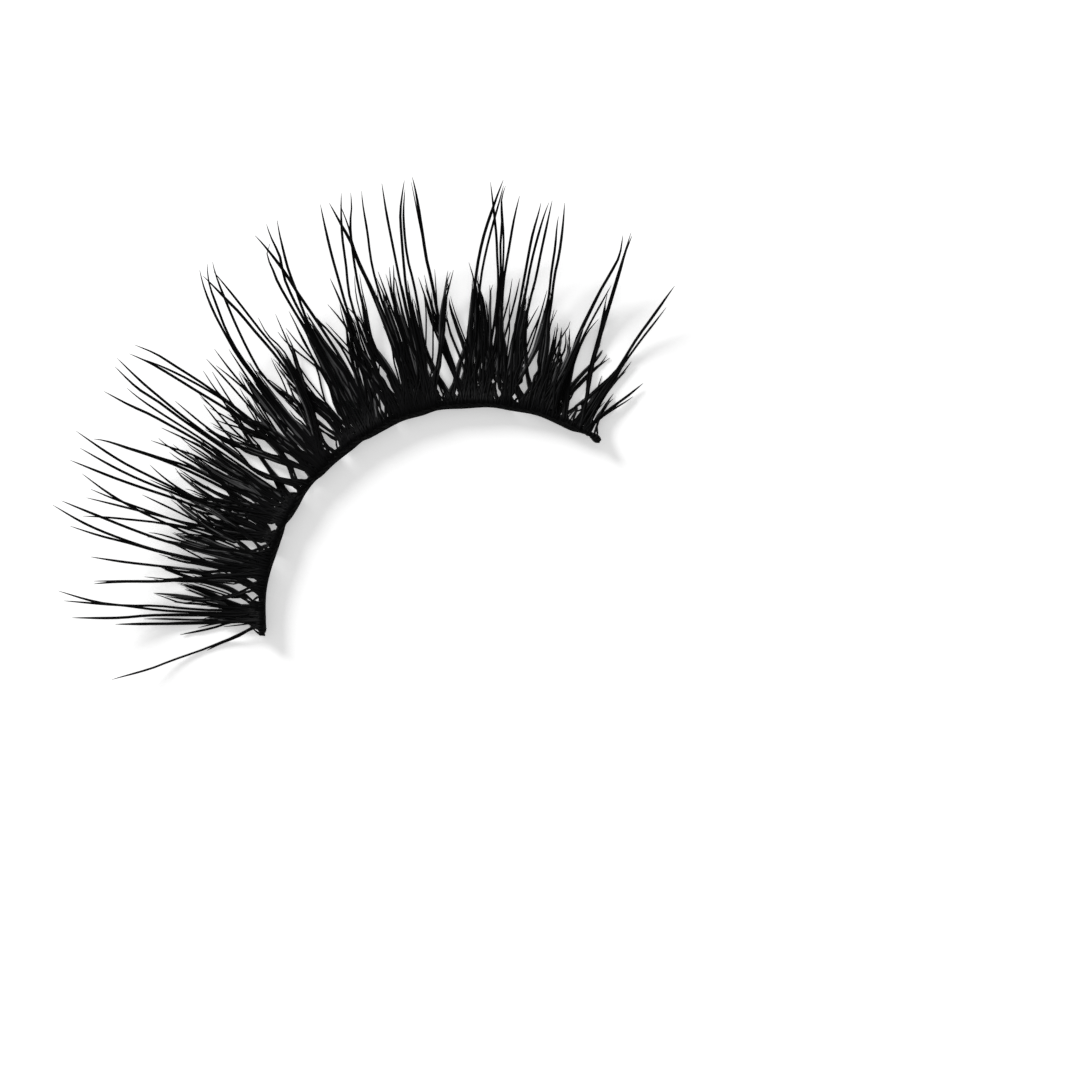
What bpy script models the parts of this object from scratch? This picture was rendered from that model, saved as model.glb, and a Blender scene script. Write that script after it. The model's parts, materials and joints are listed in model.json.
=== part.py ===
"""False eyelash strip: a curved cotton band with nine knotted tufts of lashes.

The strip is drawn flat along its band. A station is a distance along the band's
centreline from the outer end, and a reach is a distance outwards from that centreline.
Stations, reaches and radii in the tables are in millimetres.
"""

import math
from collections import namedtuple

import bmesh
import bpy
from mathutils import Vector

MM = 0.001

# The band lies on an arc, seen from above
BAND_RADIUS = 15.0
BAND_LENGTH = 34.0
BAND_UNDERSIDE = 0.60
BAND_THICKNESS = 0.45
BAND_EDGE_ROUNDING = 0.07

# Each tuft hangs on a roll of wound roots that lies along the band's outer edge
ROLL_REACH = 0.60
ROLL_RADIUS = 0.20
ROLL_STEP = 0.8
ROLL_END_SHARE = 0.75
FIRST_REACH = 0.55

# Seen from the side, a lash dips to a low belly and then curls up to its tip
ROOT_HEIGHT = 0.70
BELLY_HEIGHT = 0.15
BELLY_REACH = 4.2
LONGEST_REACH = 16.1
TIP_HEIGHT = 4.4
LAYER_STEP = 0.34

# Strands of one layer lie a hair's breadth above or below each other where they cross
STAGGER_STEP = 0.007
STAGGER_CYCLE = 5

# Sections of the locks, which are four-sided and taper to a blunt point
LOCK_RADIUS = 0.14
TIP_RADIUS = 0.035
LOCK_STEPS = 4
LASH_STEPS = 5
SHORT_LOCK_SHARE = 0.86
LEAN_SHARE = 0.62
KNEE_SHARE = 0.42
WELD_DISTANCE = 1e-7

BLACK_COTTON = (0.012, 0.012, 0.013, 1.0)
BLACK_FIBRE = (0.009, 0.009, 0.010, 1.0)

# The band's two edges: its inner edge follows the eyelid, and the lashes leave the outer one
Edge = namedtuple("Edge", "station inner outer")
BAND_EDGES = [
    Edge(-0.06, 0.06, 0.22),
    Edge(0.20, -0.14, 0.32),
    Edge(0.90, -0.20, 0.34),
    Edge(2.00, -0.17, 0.34),
    Edge(3.20, -0.14, 0.34),
    Edge(4.50, -0.20, 0.34),
    Edge(6.00, -0.29, 0.34),
    Edge(7.40, -0.24, 0.34),
    Edge(8.05, -0.15, 0.34),
    Edge(8.60, -0.28, 0.34),
    Edge(9.60, -0.32, 0.34),
    Edge(10.60, -0.23, 0.34),
    Edge(11.90, -0.24, 0.34),
    Edge(12.30, -0.33, 0.34),
    Edge(13.60, -0.37, 0.34),
    Edge(15.40, -0.41, 0.34),
    Edge(16.25, -0.33, 0.34),
    Edge(16.80, -0.42, 0.34),
    Edge(18.00, -0.42, 0.34),
    Edge(19.50, -0.33, 0.34),
    Edge(21.00, -0.38, 0.34),
    Edge(22.00, -0.27, 0.34),
    Edge(24.00, -0.37, 0.34),
    Edge(26.00, -0.27, 0.34),
    Edge(27.40, -0.33, 0.34),
    Edge(29.40, -0.24, 0.34),
    Edge(30.80, -0.32, 0.34),
    Edge(32.00, -0.32, 0.34),
    Edge(32.70, -0.13, 0.33),
    Edge(33.30, -0.04, 0.30),
    Edge(33.85, -0.16, 0.34),
    Edge(34.12, -0.04, 0.22),
]

# Groups of short locks: where they leave the band, where their tips are, how far they reach
Group = namedtuple("Group", "tuft root_from root_to tip_from tip_to reach count")
GROUPS = [
    Group(1, 0.90, 1.60, 0.90, 1.75, 7.0, 4),
    Group(1, 1.50, 1.95, 2.15, 2.40, 7.2, 2),
    Group(1, 1.90, 1.90, 2.95, 2.95, 6.3, 1),
    Group(2, 3.90, 4.20, 2.95, 3.30, 7.6, 2),
    Group(2, 3.20, 3.45, 3.60, 3.85, 7.5, 2),
    Group(2, 4.10, 4.30, 4.15, 4.40, 7.6, 2),
    Group(2, 4.40, 5.30, 4.80, 5.70, 7.8, 4),
    Group(2, 5.10, 5.50, 6.10, 6.80, 7.8, 2),
    Group(3, 7.80, 8.40, 5.90, 7.00, 7.6, 3),
    Group(3, 6.70, 7.10, 7.10, 7.60, 8.2, 2),
    Group(3, 8.30, 9.30, 8.10, 9.40, 9.0, 4),
    Group(3, 9.50, 10.10, 9.60, 10.40, 8.8, 3),
    Group(3, 10.10, 10.40, 12.00, 12.50, 8.0, 2),
    Group(4, 11.90, 12.30, 10.50, 11.00, 8.6, 2),
    Group(4, 11.40, 11.40, 10.15, 10.15, 8.0, 1),
    Group(4, 12.20, 13.20, 11.90, 13.30, 8.6, 4),
    Group(4, 13.20, 14.00, 13.60, 15.00, 8.8, 4),
    Group(5, 15.10, 15.70, 14.10, 14.90, 8.2, 2),
    Group(5, 15.70, 16.30, 15.10, 15.60, 8.6, 2),
    Group(5, 15.40, 15.40, 16.40, 16.40, 8.0, 1),
    Group(5, 16.20, 17.20, 16.60, 17.40, 9.2, 4),
    Group(5, 17.10, 17.90, 18.20, 19.10, 8.4, 3),
    Group(6, 19.30, 20.20, 18.10, 19.30, 8.6, 3),
    Group(6, 18.60, 19.20, 19.30, 19.60, 8.6, 2),
    Group(6, 20.00, 21.80, 20.40, 22.00, 9.4, 5),
    Group(6, 21.90, 22.40, 23.10, 23.60, 8.0, 2),
    Group(7, 23.80, 24.40, 22.20, 22.80, 8.4, 2),
    Group(7, 23.00, 23.40, 22.90, 23.40, 8.2, 2),
    Group(7, 24.30, 25.50, 24.60, 25.50, 8.8, 4),
    Group(7, 25.30, 26.20, 25.80, 26.40, 8.8, 3),
    Group(7, 26.10, 26.10, 27.00, 27.00, 8.0, 1),
    Group(8, 28.00, 28.60, 26.80, 27.50, 8.4, 3),
    Group(8, 26.80, 27.20, 27.80, 28.30, 7.8, 2),
    Group(8, 28.30, 29.20, 28.20, 29.00, 7.0, 3),
    Group(8, 29.20, 30.20, 29.20, 30.10, 6.0, 3),
    Group(9, 31.00, 31.80, 29.90, 30.50, 6.2, 2),
    Group(9, 30.90, 31.60, 31.40, 31.80, 5.4, 2),
    Group(9, 31.90, 32.80, 32.40, 32.90, 5.2, 4),
    Group(9, 33.10, 33.30, 33.20, 34.15, 4.2, 2),
]

# Single long lashes, each through a root, a knee, a shoulder and a tip, as (station, reach)
Lash = namedtuple("Lash", "tuft root knee shoulder tip radius")
LASHES = [
    Lash(1, (0.75, 0.6), (-0.10, 2.5), (-0.65, 5.0), (-1.30, 11.0), 0.09),
    Lash(1, (0.95, 0.6), (0.90, 4.0), (0.93, 8.0), (0.95, 10.4), 0.09),
    Lash(1, (1.30, 0.6), (1.33, 6.5), (1.22, 10.0), (1.23, 13.4), 0.09),
    Lash(1, (1.60, 0.6), (1.50, 5.6), (1.75, 10.5), (2.20, 14.4), 0.09),
    Lash(2, (4.20, 0.6), (3.15, 5.0), (2.85, 9.0), (2.60, 12.0), 0.09),
    Lash(2, (3.40, 0.6), (3.75, 5.0), (3.60, 8.5), (3.58, 12.4), 0.09),
    Lash(2, (4.30, 0.6), (4.30, 7.0), (4.45, 10.5), (5.15, 15.7), 0.10),
    Lash(2, (4.80, 0.6), (4.85, 7.5), (5.00, 10.0), (5.37, 15.2), 0.10),
    Lash(2, (5.20, 0.6), (5.70, 6.5), (5.50, 10.0), (5.03, 13.5), 0.09),
    Lash(2, (5.40, 0.6), (6.00, 6.0), (5.90, 10.0), (6.50, 14.4), 0.09),
    Lash(3, (7.00, 0.6), (6.90, 6.0), (6.80, 10.0), (6.80, 15.5), 0.10),
    Lash(3, (7.90, 0.6), (7.15, 6.0), (7.35, 10.5), (7.80, 15.9), 0.10),
    Lash(3, (8.40, 0.6), (8.40, 6.5), (8.20, 10.0), (7.85, 14.6), 0.12),
    Lash(3, (9.10, 0.6), (9.60, 6.5), (9.65, 10.5), (9.45, 15.5), 0.10),
    Lash(3, (9.70, 0.6), (10.00, 6.0), (10.15, 11.0), (10.37, 15.8), 0.10),
    Lash(3, (10.20, 0.6), (10.10, 5.0), (10.27, 10.0), (10.65, 16.0), 0.09),
    Lash(4, (12.20, 0.6), (11.90, 6.0), (11.40, 11.5), (11.02, 15.5), 0.10),
    Lash(4, (12.50, 0.6), (12.00, 7.0), (11.75, 12.0), (11.37, 15.6), 0.10),
    Lash(4, (13.20, 0.6), (13.50, 6.5), (13.75, 10.0), (14.75, 16.1), 0.10),
    Lash(4, (13.60, 0.6), (13.70, 6.5), (13.90, 10.5), (15.05, 16.0), 0.10),
    Lash(4, (13.90, 0.6), (15.00, 6.5), (14.95, 11.0), (14.72, 15.4), 0.11),
    Lash(5, (15.70, 0.6), (15.30, 6.0), (15.15, 10.5), (15.10, 15.4), 0.09),
    Lash(5, (16.40, 0.6), (16.70, 7.0), (16.82, 12.0), (17.25, 14.9), 0.10),
    Lash(5, (16.70, 0.6), (16.95, 7.0), (17.02, 11.0), (17.50, 16.1), 0.10),
    Lash(5, (17.10, 0.6), (17.45, 8.0), (17.29, 11.5), (16.97, 15.9), 0.11),
    Lash(5, (16.90, 0.6), (17.10, 8.0), (17.31, 11.5), (17.88, 16.0), 0.10),
    Lash(6, (19.00, 0.6), (18.85, 6.5), (19.08, 11.0), (19.44, 15.9), 0.10),
    Lash(6, (19.40, 0.6), (19.15, 7.0), (19.45, 11.0), (20.24, 16.1), 0.10),
    Lash(6, (20.30, 0.6), (20.35, 6.0), (20.05, 11.0), (19.74, 15.8), 0.12),
    Lash(6, (20.00, 0.6), (19.55, 6.5), (19.85, 11.0), (20.53, 15.9), 0.10),
    Lash(6, (20.70, 0.6), (20.50, 8.0), (20.55, 11.0), (20.92, 15.9), 0.09),
    Lash(6, (21.30, 0.6), (21.50, 7.0), (21.55, 11.0), (21.65, 16.0), 0.09),
    Lash(6, (21.70, 0.6), (21.70, 7.5), (21.90, 11.5), (22.42, 15.9), 0.10),
    Lash(7, (23.80, 0.6), (22.95, 6.0), (22.80, 10.0), (22.72, 15.9), 0.13),
    Lash(7, (24.50, 0.6), (24.75, 7.5), (25.10, 11.5), (25.76, 15.5), 0.12),
    Lash(7, (24.90, 0.6), (25.00, 7.5), (25.30, 11.0), (25.80, 15.2), 0.10),
    Lash(7, (25.60, 0.6), (25.90, 7.5), (25.68, 11.5), (25.36, 15.5), 0.10),
    Lash(7, (25.90, 0.6), (26.10, 8.0), (26.20, 11.0), (26.41, 14.7), 0.09),
    Lash(8, (27.40, 0.6), (26.95, 7.0), (27.03, 11.0), (27.20, 14.3), 0.09),
    Lash(8, (27.90, 0.6), (27.15, 7.5), (27.22, 11.0), (27.48, 14.4), 0.09),
    Lash(8, (28.20, 0.6), (27.42, 7.0), (27.50, 11.0), (27.58, 14.5), 0.09),
    Lash(8, (28.50, 0.6), (28.22, 8.0), (28.05, 11.0), (27.91, 13.5), 0.09),
    Lash(8, (28.90, 0.6), (28.40, 7.5), (28.25, 11.0), (28.03, 14.7), 0.09),
    Lash(9, (31.00, 0.6), (30.10, 5.5), (30.35, 10.0), (30.60, 12.5), 0.12),
    Lash(9, (31.90, 0.6), (31.10, 6.5), (30.82, 10.5), (30.68, 14.0), 0.12),
    Lash(9, (32.50, 0.6), (32.68, 6.0), (32.85, 9.5), (32.98, 12.0), 0.11),
    Lash(9, (32.80, 0.6), (32.82, 6.0), (33.02, 9.0), (33.14, 10.4), 0.09),
]

TUFT_COUNT = max(group.tuft for group in GROUPS)


def clear_scene():
    """Remove whatever the file opened with."""
    for item in list(bpy.data.objects):
        bpy.data.objects.remove(item, do_unlink=True)


def make_collection(name):
    """Return a new collection linked to the scene."""
    collection = bpy.data.collections.new(name)
    bpy.context.scene.collection.children.link(collection)
    return collection


def make_material(name, colour, roughness):
    """Return a plain Principled material."""
    material = bpy.data.materials.new(name)
    material.use_nodes = True
    shader = material.node_tree.nodes["Principled BSDF"]
    shader.inputs["Base Color"].default_value = colour
    shader.inputs["Roughness"].default_value = roughness
    shader.inputs["Metallic"].default_value = 0.0
    material.diffuse_color = colour
    return material


def place(station, reach, height):
    """Turn a station, a reach and a height in millimetres into a point in metres."""
    swing = (BAND_LENGTH / 2 - station) / BAND_RADIUS
    out = BAND_RADIUS + reach
    return Vector((-out * math.sin(swing), out * math.cos(swing), height)) * MM


def lash_height(reach, layer):
    """Height of a lash's middle at a reach: down to the belly, then up in a curl."""
    if reach < BELLY_REACH:
        rise = ROOT_HEIGHT - BELLY_HEIGHT
        share = (BELLY_REACH - reach) / (BELLY_REACH - ROLL_REACH)
    else:
        rise = TIP_HEIGHT - BELLY_HEIGHT
        share = (reach - BELLY_REACH) / (LONGEST_REACH - BELLY_REACH)
    return BELLY_HEIGHT + rise * share ** 2 + layer * LAYER_STEP


def smooth_path(points, steps):
    """Sample a smooth curve that passes through flat (station, reach) points."""
    padded = [points[0]] + list(points) + [points[-1]]
    spans = len(points) - 1
    samples = []
    for index in range(steps + 1):
        at = spans * index / steps
        span = min(int(at), spans - 1)
        t = at - span
        before, start, end, after = padded[span:span + 4]
        samples.append(tuple(
            0.5 * (2 * start[k] + (end[k] - before[k]) * t
                   + (2 * before[k] - 5 * start[k] + 4 * end[k] - after[k]) * t ** 2
                   + (3 * start[k] - before[k] - 3 * end[k] + after[k]) * t ** 3)
            for k in range(2)))
    return samples


def mesh_from_curve(curve_object, name, collection):
    """Turn a curve object into a mesh object with its caps welded on."""
    graph = bpy.context.evaluated_depsgraph_get()
    mesh = bpy.data.meshes.new_from_object(curve_object.evaluated_get(graph))
    shape = bmesh.new()
    shape.from_mesh(mesh)
    bmesh.ops.remove_doubles(shape, verts=shape.verts, dist=WELD_DISTANCE)
    bmesh.ops.recalc_face_normals(shape, faces=shape.faces)
    shape.to_mesh(mesh)
    shape.free()
    made = bpy.data.objects.new(name, mesh)
    made.matrix_world = curve_object.matrix_world
    collection.objects.link(made)
    curve = curve_object.data
    bpy.data.objects.remove(curve_object)
    bpy.data.curves.remove(curve)
    return made


def make_tube(name, points, radii, collection):
    """Make a four-sided tube through points, with a radius in millimetres at each."""
    curve = bpy.data.curves.new(name, "CURVE")
    curve.dimensions = "3D"
    curve.bevel_depth = MM
    curve.bevel_resolution = 0
    curve.use_fill_caps = True
    spline = curve.splines.new("POLY")
    spline.points.add(len(points) - 1)
    for knot, point, radius in zip(spline.points, points, radii):
        knot.co = (*point, 1.0)
        knot.radius = radius
    holder = bpy.data.objects.new(name + "_path", curve)
    collection.objects.link(holder)
    return mesh_from_curve(holder, name, collection)


def make_band(collection, material):
    """Make the flat cotton band from its outline, with rounded edges."""
    outline = [place(edge.station, edge.inner, 0.0) for edge in BAND_EDGES]
    outline += [place(edge.station, edge.outer, 0.0) for edge in reversed(BAND_EDGES)]
    curve = bpy.data.curves.new("band_outline", "CURVE")
    curve.dimensions = "2D"
    curve.fill_mode = "BOTH"
    curve.extrude = (BAND_THICKNESS / 2 - BAND_EDGE_ROUNDING) * MM
    curve.bevel_depth = BAND_EDGE_ROUNDING * MM
    curve.bevel_resolution = 0
    curve.offset = -BAND_EDGE_ROUNDING * MM
    spline = curve.splines.new("POLY")
    spline.points.add(len(outline) - 1)
    for knot, point in zip(spline.points, outline):
        knot.co = (*point, 1.0)
    spline.use_cyclic_u = True
    holder = bpy.data.objects.new("band_path", curve)
    holder.location.z = (BAND_UNDERSIDE + BAND_THICKNESS / 2) * MM
    collection.objects.link(holder)
    bpy.context.view_layer.update()
    band = mesh_from_curve(holder, "band", collection)
    band.data.materials.clear()
    band.data.materials.append(material)
    return band


def make_roll(tuft, layer, stations, collection):
    """Make the roll of wound roots that carries a tuft."""
    start = min(stations) - ROLL_RADIUS
    end = max(stations) + ROLL_RADIUS
    steps = max(2, round((end - start) / ROLL_STEP))
    height = lash_height(ROLL_REACH, layer)
    points = []
    radii = []
    for index in range(steps + 1):
        share = index / steps
        points.append(place(start + (end - start) * share, ROLL_REACH, height))
        radii.append(ROLL_RADIUS * (ROLL_END_SHARE if index in (0, steps) else 1.0))
    return make_tube(f"tuft_{tuft}", points, radii, collection)


def make_strand(name, flat_points, layer, stagger, steps, radius, collection):
    """Make one lock or lash that tapers from its middle to its tip."""
    points = []
    for station, reach in smooth_path(flat_points, steps):
        points.append(place(station, reach, lash_height(reach, layer) + stagger))
    radii = []
    for index in range(steps + 1):
        share = index / steps
        radii.append(radius + (TIP_RADIUS - radius) * share ** 2)
    return make_tube(name, points, radii, collection)


def group_paths(group):
    """Yield the flat path of each lock in a group: root, knee and tip."""
    for index in range(group.count):
        share = index / (group.count - 1) if group.count > 1 else 0.5
        root = group.root_from + (group.root_to - group.root_from) * share
        tip = group.tip_from + (group.tip_to - group.tip_from) * share
        reach = group.reach * (SHORT_LOCK_SHARE if index % 2 else 1.0)
        knee = root + (tip - root) * LEAN_SHARE
        yield [(root, FIRST_REACH), (knee, reach * KNEE_SHARE), (tip, reach)]


def make_tuft(tuft, collection, cutters, material):
    """Make one tuft: its roll of roots, with its locks and long lashes fused on."""
    layer = (tuft + 1) % 2
    paths = []
    for group in GROUPS:
        if group.tuft == tuft:
            paths += [(path, LOCK_STEPS, LOCK_RADIUS) for path in group_paths(group)]
    for lash in LASHES:
        if lash.tuft == tuft:
            path = [lash.root, lash.knee, lash.shoulder, lash.tip]
            paths.append((path, LASH_STEPS, lash.radius))
    roots = [path[0][0] for path, steps, radius in paths]
    body = make_roll(tuft, layer, roots, collection)
    strands = bpy.data.collections.new(f"tuft_{tuft}_strands")
    cutters.children.link(strands)
    for index, (path, steps, radius) in enumerate(paths):
        name = f"strand_{tuft}_{index}"
        stagger = (index % STAGGER_CYCLE - STAGGER_CYCLE // 2) * STAGGER_STEP
        strand = make_strand(name, path, layer, stagger, steps, radius, strands)
        strand.hide_render = True
        strand.display_type = "WIRE"
    body.data.materials.clear()
    body.data.materials.append(material)
    return body, strands


def fuse(body, strands):
    """Join a collection of strands to the roll that carries them."""
    union = body.modifiers.new("strands", "BOOLEAN")
    union.operation = "UNION"
    union.solver = "EXACT"
    union.operand_type = "COLLECTION"
    union.collection = strands


def stand_on_origin(pieces, strands):
    """Hang everything on an empty, so that the pieces' bottom centre is the origin."""
    graph = bpy.context.evaluated_depsgraph_get()
    corners = []
    for piece in pieces:
        shown = piece.evaluated_get(graph)
        corners += [piece.matrix_world @ vertex.co for vertex in shown.data.vertices]
    low = Vector([min(corner[axis] for corner in corners) for axis in range(3)])
    high = Vector([max(corner[axis] for corner in corners) for axis in range(3)])
    carrier = bpy.data.objects.new("strip_frame", None)
    bpy.context.scene.collection.objects.link(carrier)
    for piece in pieces + strands:
        piece.parent = carrier
    carrier.location = (-(low.x + high.x) / 2, -(low.y + high.y) / 2, -low.z)


def main():
    clear_scene()
    strip = make_collection("false_eyelash_strip")
    cutters = make_collection("cutters")
    cotton = make_material("black_cotton", BLACK_COTTON, 0.85)
    band = make_band(strip, cotton)
    tufts = []
    for tuft in range(1, TUFT_COUNT + 1):
        fibre = make_material(f"black_fibre_{tuft}", BLACK_FIBRE, 0.45)
        tufts.append(make_tuft(tuft, strip, cutters, fibre))
    for body, strands in tufts:
        fuse(body, strands)
    loose = [strand for body, strands in tufts for strand in strands.objects]
    stand_on_origin([band] + [body for body, strands in tufts], loose)


main()
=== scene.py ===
"""False eyelash strip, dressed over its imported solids.

The strip is drawn flat along its band. A station is a distance along the band's centreline
from the outer end, and a reach is a distance outwards from that centreline. Stations,
reaches, heights and radii in the tables are in millimetres.
"""

import json
import math
import random
from collections import namedtuple

import bpy
from bpy.props import FloatProperty, FloatVectorProperty, IntProperty, PointerProperty
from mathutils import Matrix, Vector


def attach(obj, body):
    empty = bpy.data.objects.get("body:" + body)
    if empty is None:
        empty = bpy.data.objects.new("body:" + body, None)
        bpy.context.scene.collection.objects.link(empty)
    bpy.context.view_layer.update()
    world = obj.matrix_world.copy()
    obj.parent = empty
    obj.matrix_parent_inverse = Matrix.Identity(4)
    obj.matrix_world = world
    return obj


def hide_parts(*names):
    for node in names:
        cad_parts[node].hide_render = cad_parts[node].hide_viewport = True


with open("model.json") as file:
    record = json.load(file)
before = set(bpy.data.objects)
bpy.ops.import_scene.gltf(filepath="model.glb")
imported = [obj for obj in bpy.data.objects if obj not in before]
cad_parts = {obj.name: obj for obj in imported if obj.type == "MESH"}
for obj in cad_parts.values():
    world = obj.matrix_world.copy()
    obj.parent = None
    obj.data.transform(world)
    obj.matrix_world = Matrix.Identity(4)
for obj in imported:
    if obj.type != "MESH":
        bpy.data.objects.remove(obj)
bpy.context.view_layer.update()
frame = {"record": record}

bl_info = {
    "name": "False eyelash strip",
    "version": (1, 0, 0),
    "blender": (4, 5, 0),
    "location": "3D View > Sidebar > Lash strip",
    "description": "Makes the hairs, the cotton band and the studio of a false eyelash strip",
    "category": "Object",
}

MM = 0.001
RELIEF_DEPTH = 0.02 * MM

# The band lies on an arc, and the point glued to the lid is the middle of its underside
BAND_RADIUS = 15.0
BAND_LENGTH = 34.0
BAND_UNDERSIDE = 0.60
BAND_THICKNESS = 0.45

# Seen from the side, a lash dips to a low belly and then curls up to its tip
ROLL_REACH = 0.60
ROOT_HEIGHT = 0.70
BELLY_HEIGHT = 0.15
BELLY_REACH = 4.2
LONGEST_REACH = 16.1
TIP_HEIGHT = 4.4
LAYER_STEP = 0.34
TUFT_COUNT = 9

# A hair is knotted round the cord that forms the band's outer edge
KNOT_REACH = 0.19
KNOT_HEIGHT = 0.82
KNOT_RADIUS = 0.25
KNOT_ANGLES = (-100, -150, 160, 115, 75)
KNOT_SPREAD = 0.03
KNOT_SLANT = 0.10
KNOT_THICKNESS = 0.8

# Where a hair starts, with a knot and without one, and how a loose one ducks under the others
ROOT_REACH = 0.3
KNOTTED_START = 0.46
LOOSE_START = 0.10
LOOSE_DROP = 0.20
LOOSE_DROP_REACH = 2.8
LOOSE_LIFT = 0.2
FULL_LIFT_REACH = 3.0
FLOOR_GAP = 0.035

# How much a hair's curl varies, and how its tip tapers: over a length of its own and a share of the
# hair's whole length
CURL_SPREAD = (-0.10, 0.03)
TAPER_LENGTH = 0.7
TAPER_SHARE = 0.10
TAPER_POWER = 0.7

# Short hairs lean to both sides up to one reach, may leave their ribbon's sides up to another, and
# wander across the ribbon further out
FLOW_STEP = 0.6
SHORTEST_STEP = 0.25
PLACE_SPREAD = 0.45
LENGTH_POWER = 1.15
TIP_STRAY = 0.08
LEAN_SPREAD = (0.10, 0.65)
LEAN_REACH = 2.1
SLACK = 0.30
SLACK_REACH = 0.9
WANDER_START = 0.6
WANDER_REACH = 4.5
FINE_SPREAD = (0.82, 1.12)

# A hair this near an opening goes round it, by up to this much more than it has to
PARTING_RANGE = 1.0
PARTING_SPREAD = 0.14

# The band's threads: the twist of each, how far it sways and swells, and the thicker edge threads
THREAD_STEP = 0.14
THREAD_TURN = 0.55
THREAD_PHASE = 2.1
THREAD_SWAY = 0.018
THREAD_RISE = 0.016
THREAD_SWELL = 0.10
EDGE_TURN = 0.7
EDGE_RISE = 0.02
EDGE_THICKNESS = 1.25
CORE_INSET = 0.05

# Where each binding starts and ends along the band, and how many loops it has
BINDINGS = ((0.06, 0.40, 4), (33.56, 33.98, 5))
LOOP_POINTS = 16
LOOP_LEAN = 0.03
LOOP_THICKNESS = 0.9

# The studio: a soft light from the far side, and a camera with a long lens straight above
LIGHT_FROM = Vector((-0.259, 0.966, 0.34))
LIGHT_DISTANCE = 2.0
LIGHT_TARGET_REACH = -6.0
LIGHT_SIZE = 0.75
CAMERA_LENS = 500.0
CAMERA_SENSOR = 36.0
CAMERA_TURN = -30.0
VIEW_WIDTH = 76.05
VIEW_LEVEL = 0.8
VIEW_SHIFT = Vector((6.58, 2.38, 0.0))

# The band's two edges: its inner edge follows the eyelid, and the lashes leave the outer one
Edge = namedtuple("Edge", "station inner outer")
BAND_EDGES = [
    Edge(-0.06, 0.06, 0.22),
    Edge(0.2, -0.14, 0.32),
    Edge(0.9, -0.2, 0.34),
    Edge(2, -0.17, 0.34),
    Edge(3.2, -0.14, 0.34),
    Edge(4.5, -0.2, 0.34),
    Edge(6, -0.29, 0.34),
    Edge(7.4, -0.24, 0.34),
    Edge(8.05, -0.15, 0.34),
    Edge(8.6, -0.28, 0.34),
    Edge(9.6, -0.32, 0.34),
    Edge(10.6, -0.23, 0.34),
    Edge(11.9, -0.24, 0.34),
    Edge(12.3, -0.33, 0.34),
    Edge(13.6, -0.37, 0.34),
    Edge(15.4, -0.41, 0.34),
    Edge(16.25, -0.33, 0.34),
    Edge(16.8, -0.42, 0.34),
    Edge(18, -0.42, 0.34),
    Edge(19.5, -0.33, 0.34),
    Edge(21, -0.38, 0.34),
    Edge(22, -0.27, 0.34),
    Edge(24, -0.37, 0.34),
    Edge(26, -0.27, 0.34),
    Edge(27.4, -0.33, 0.34),
    Edge(29.4, -0.24, 0.34),
    Edge(30.8, -0.32, 0.34),
    Edge(32, -0.32, 0.34),
    Edge(32.7, -0.13, 0.33),
    Edge(33.3, -0.04, 0.3),
    Edge(33.85, -0.16, 0.34),
    Edge(34.12, -0.04, 0.22),
]

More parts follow.
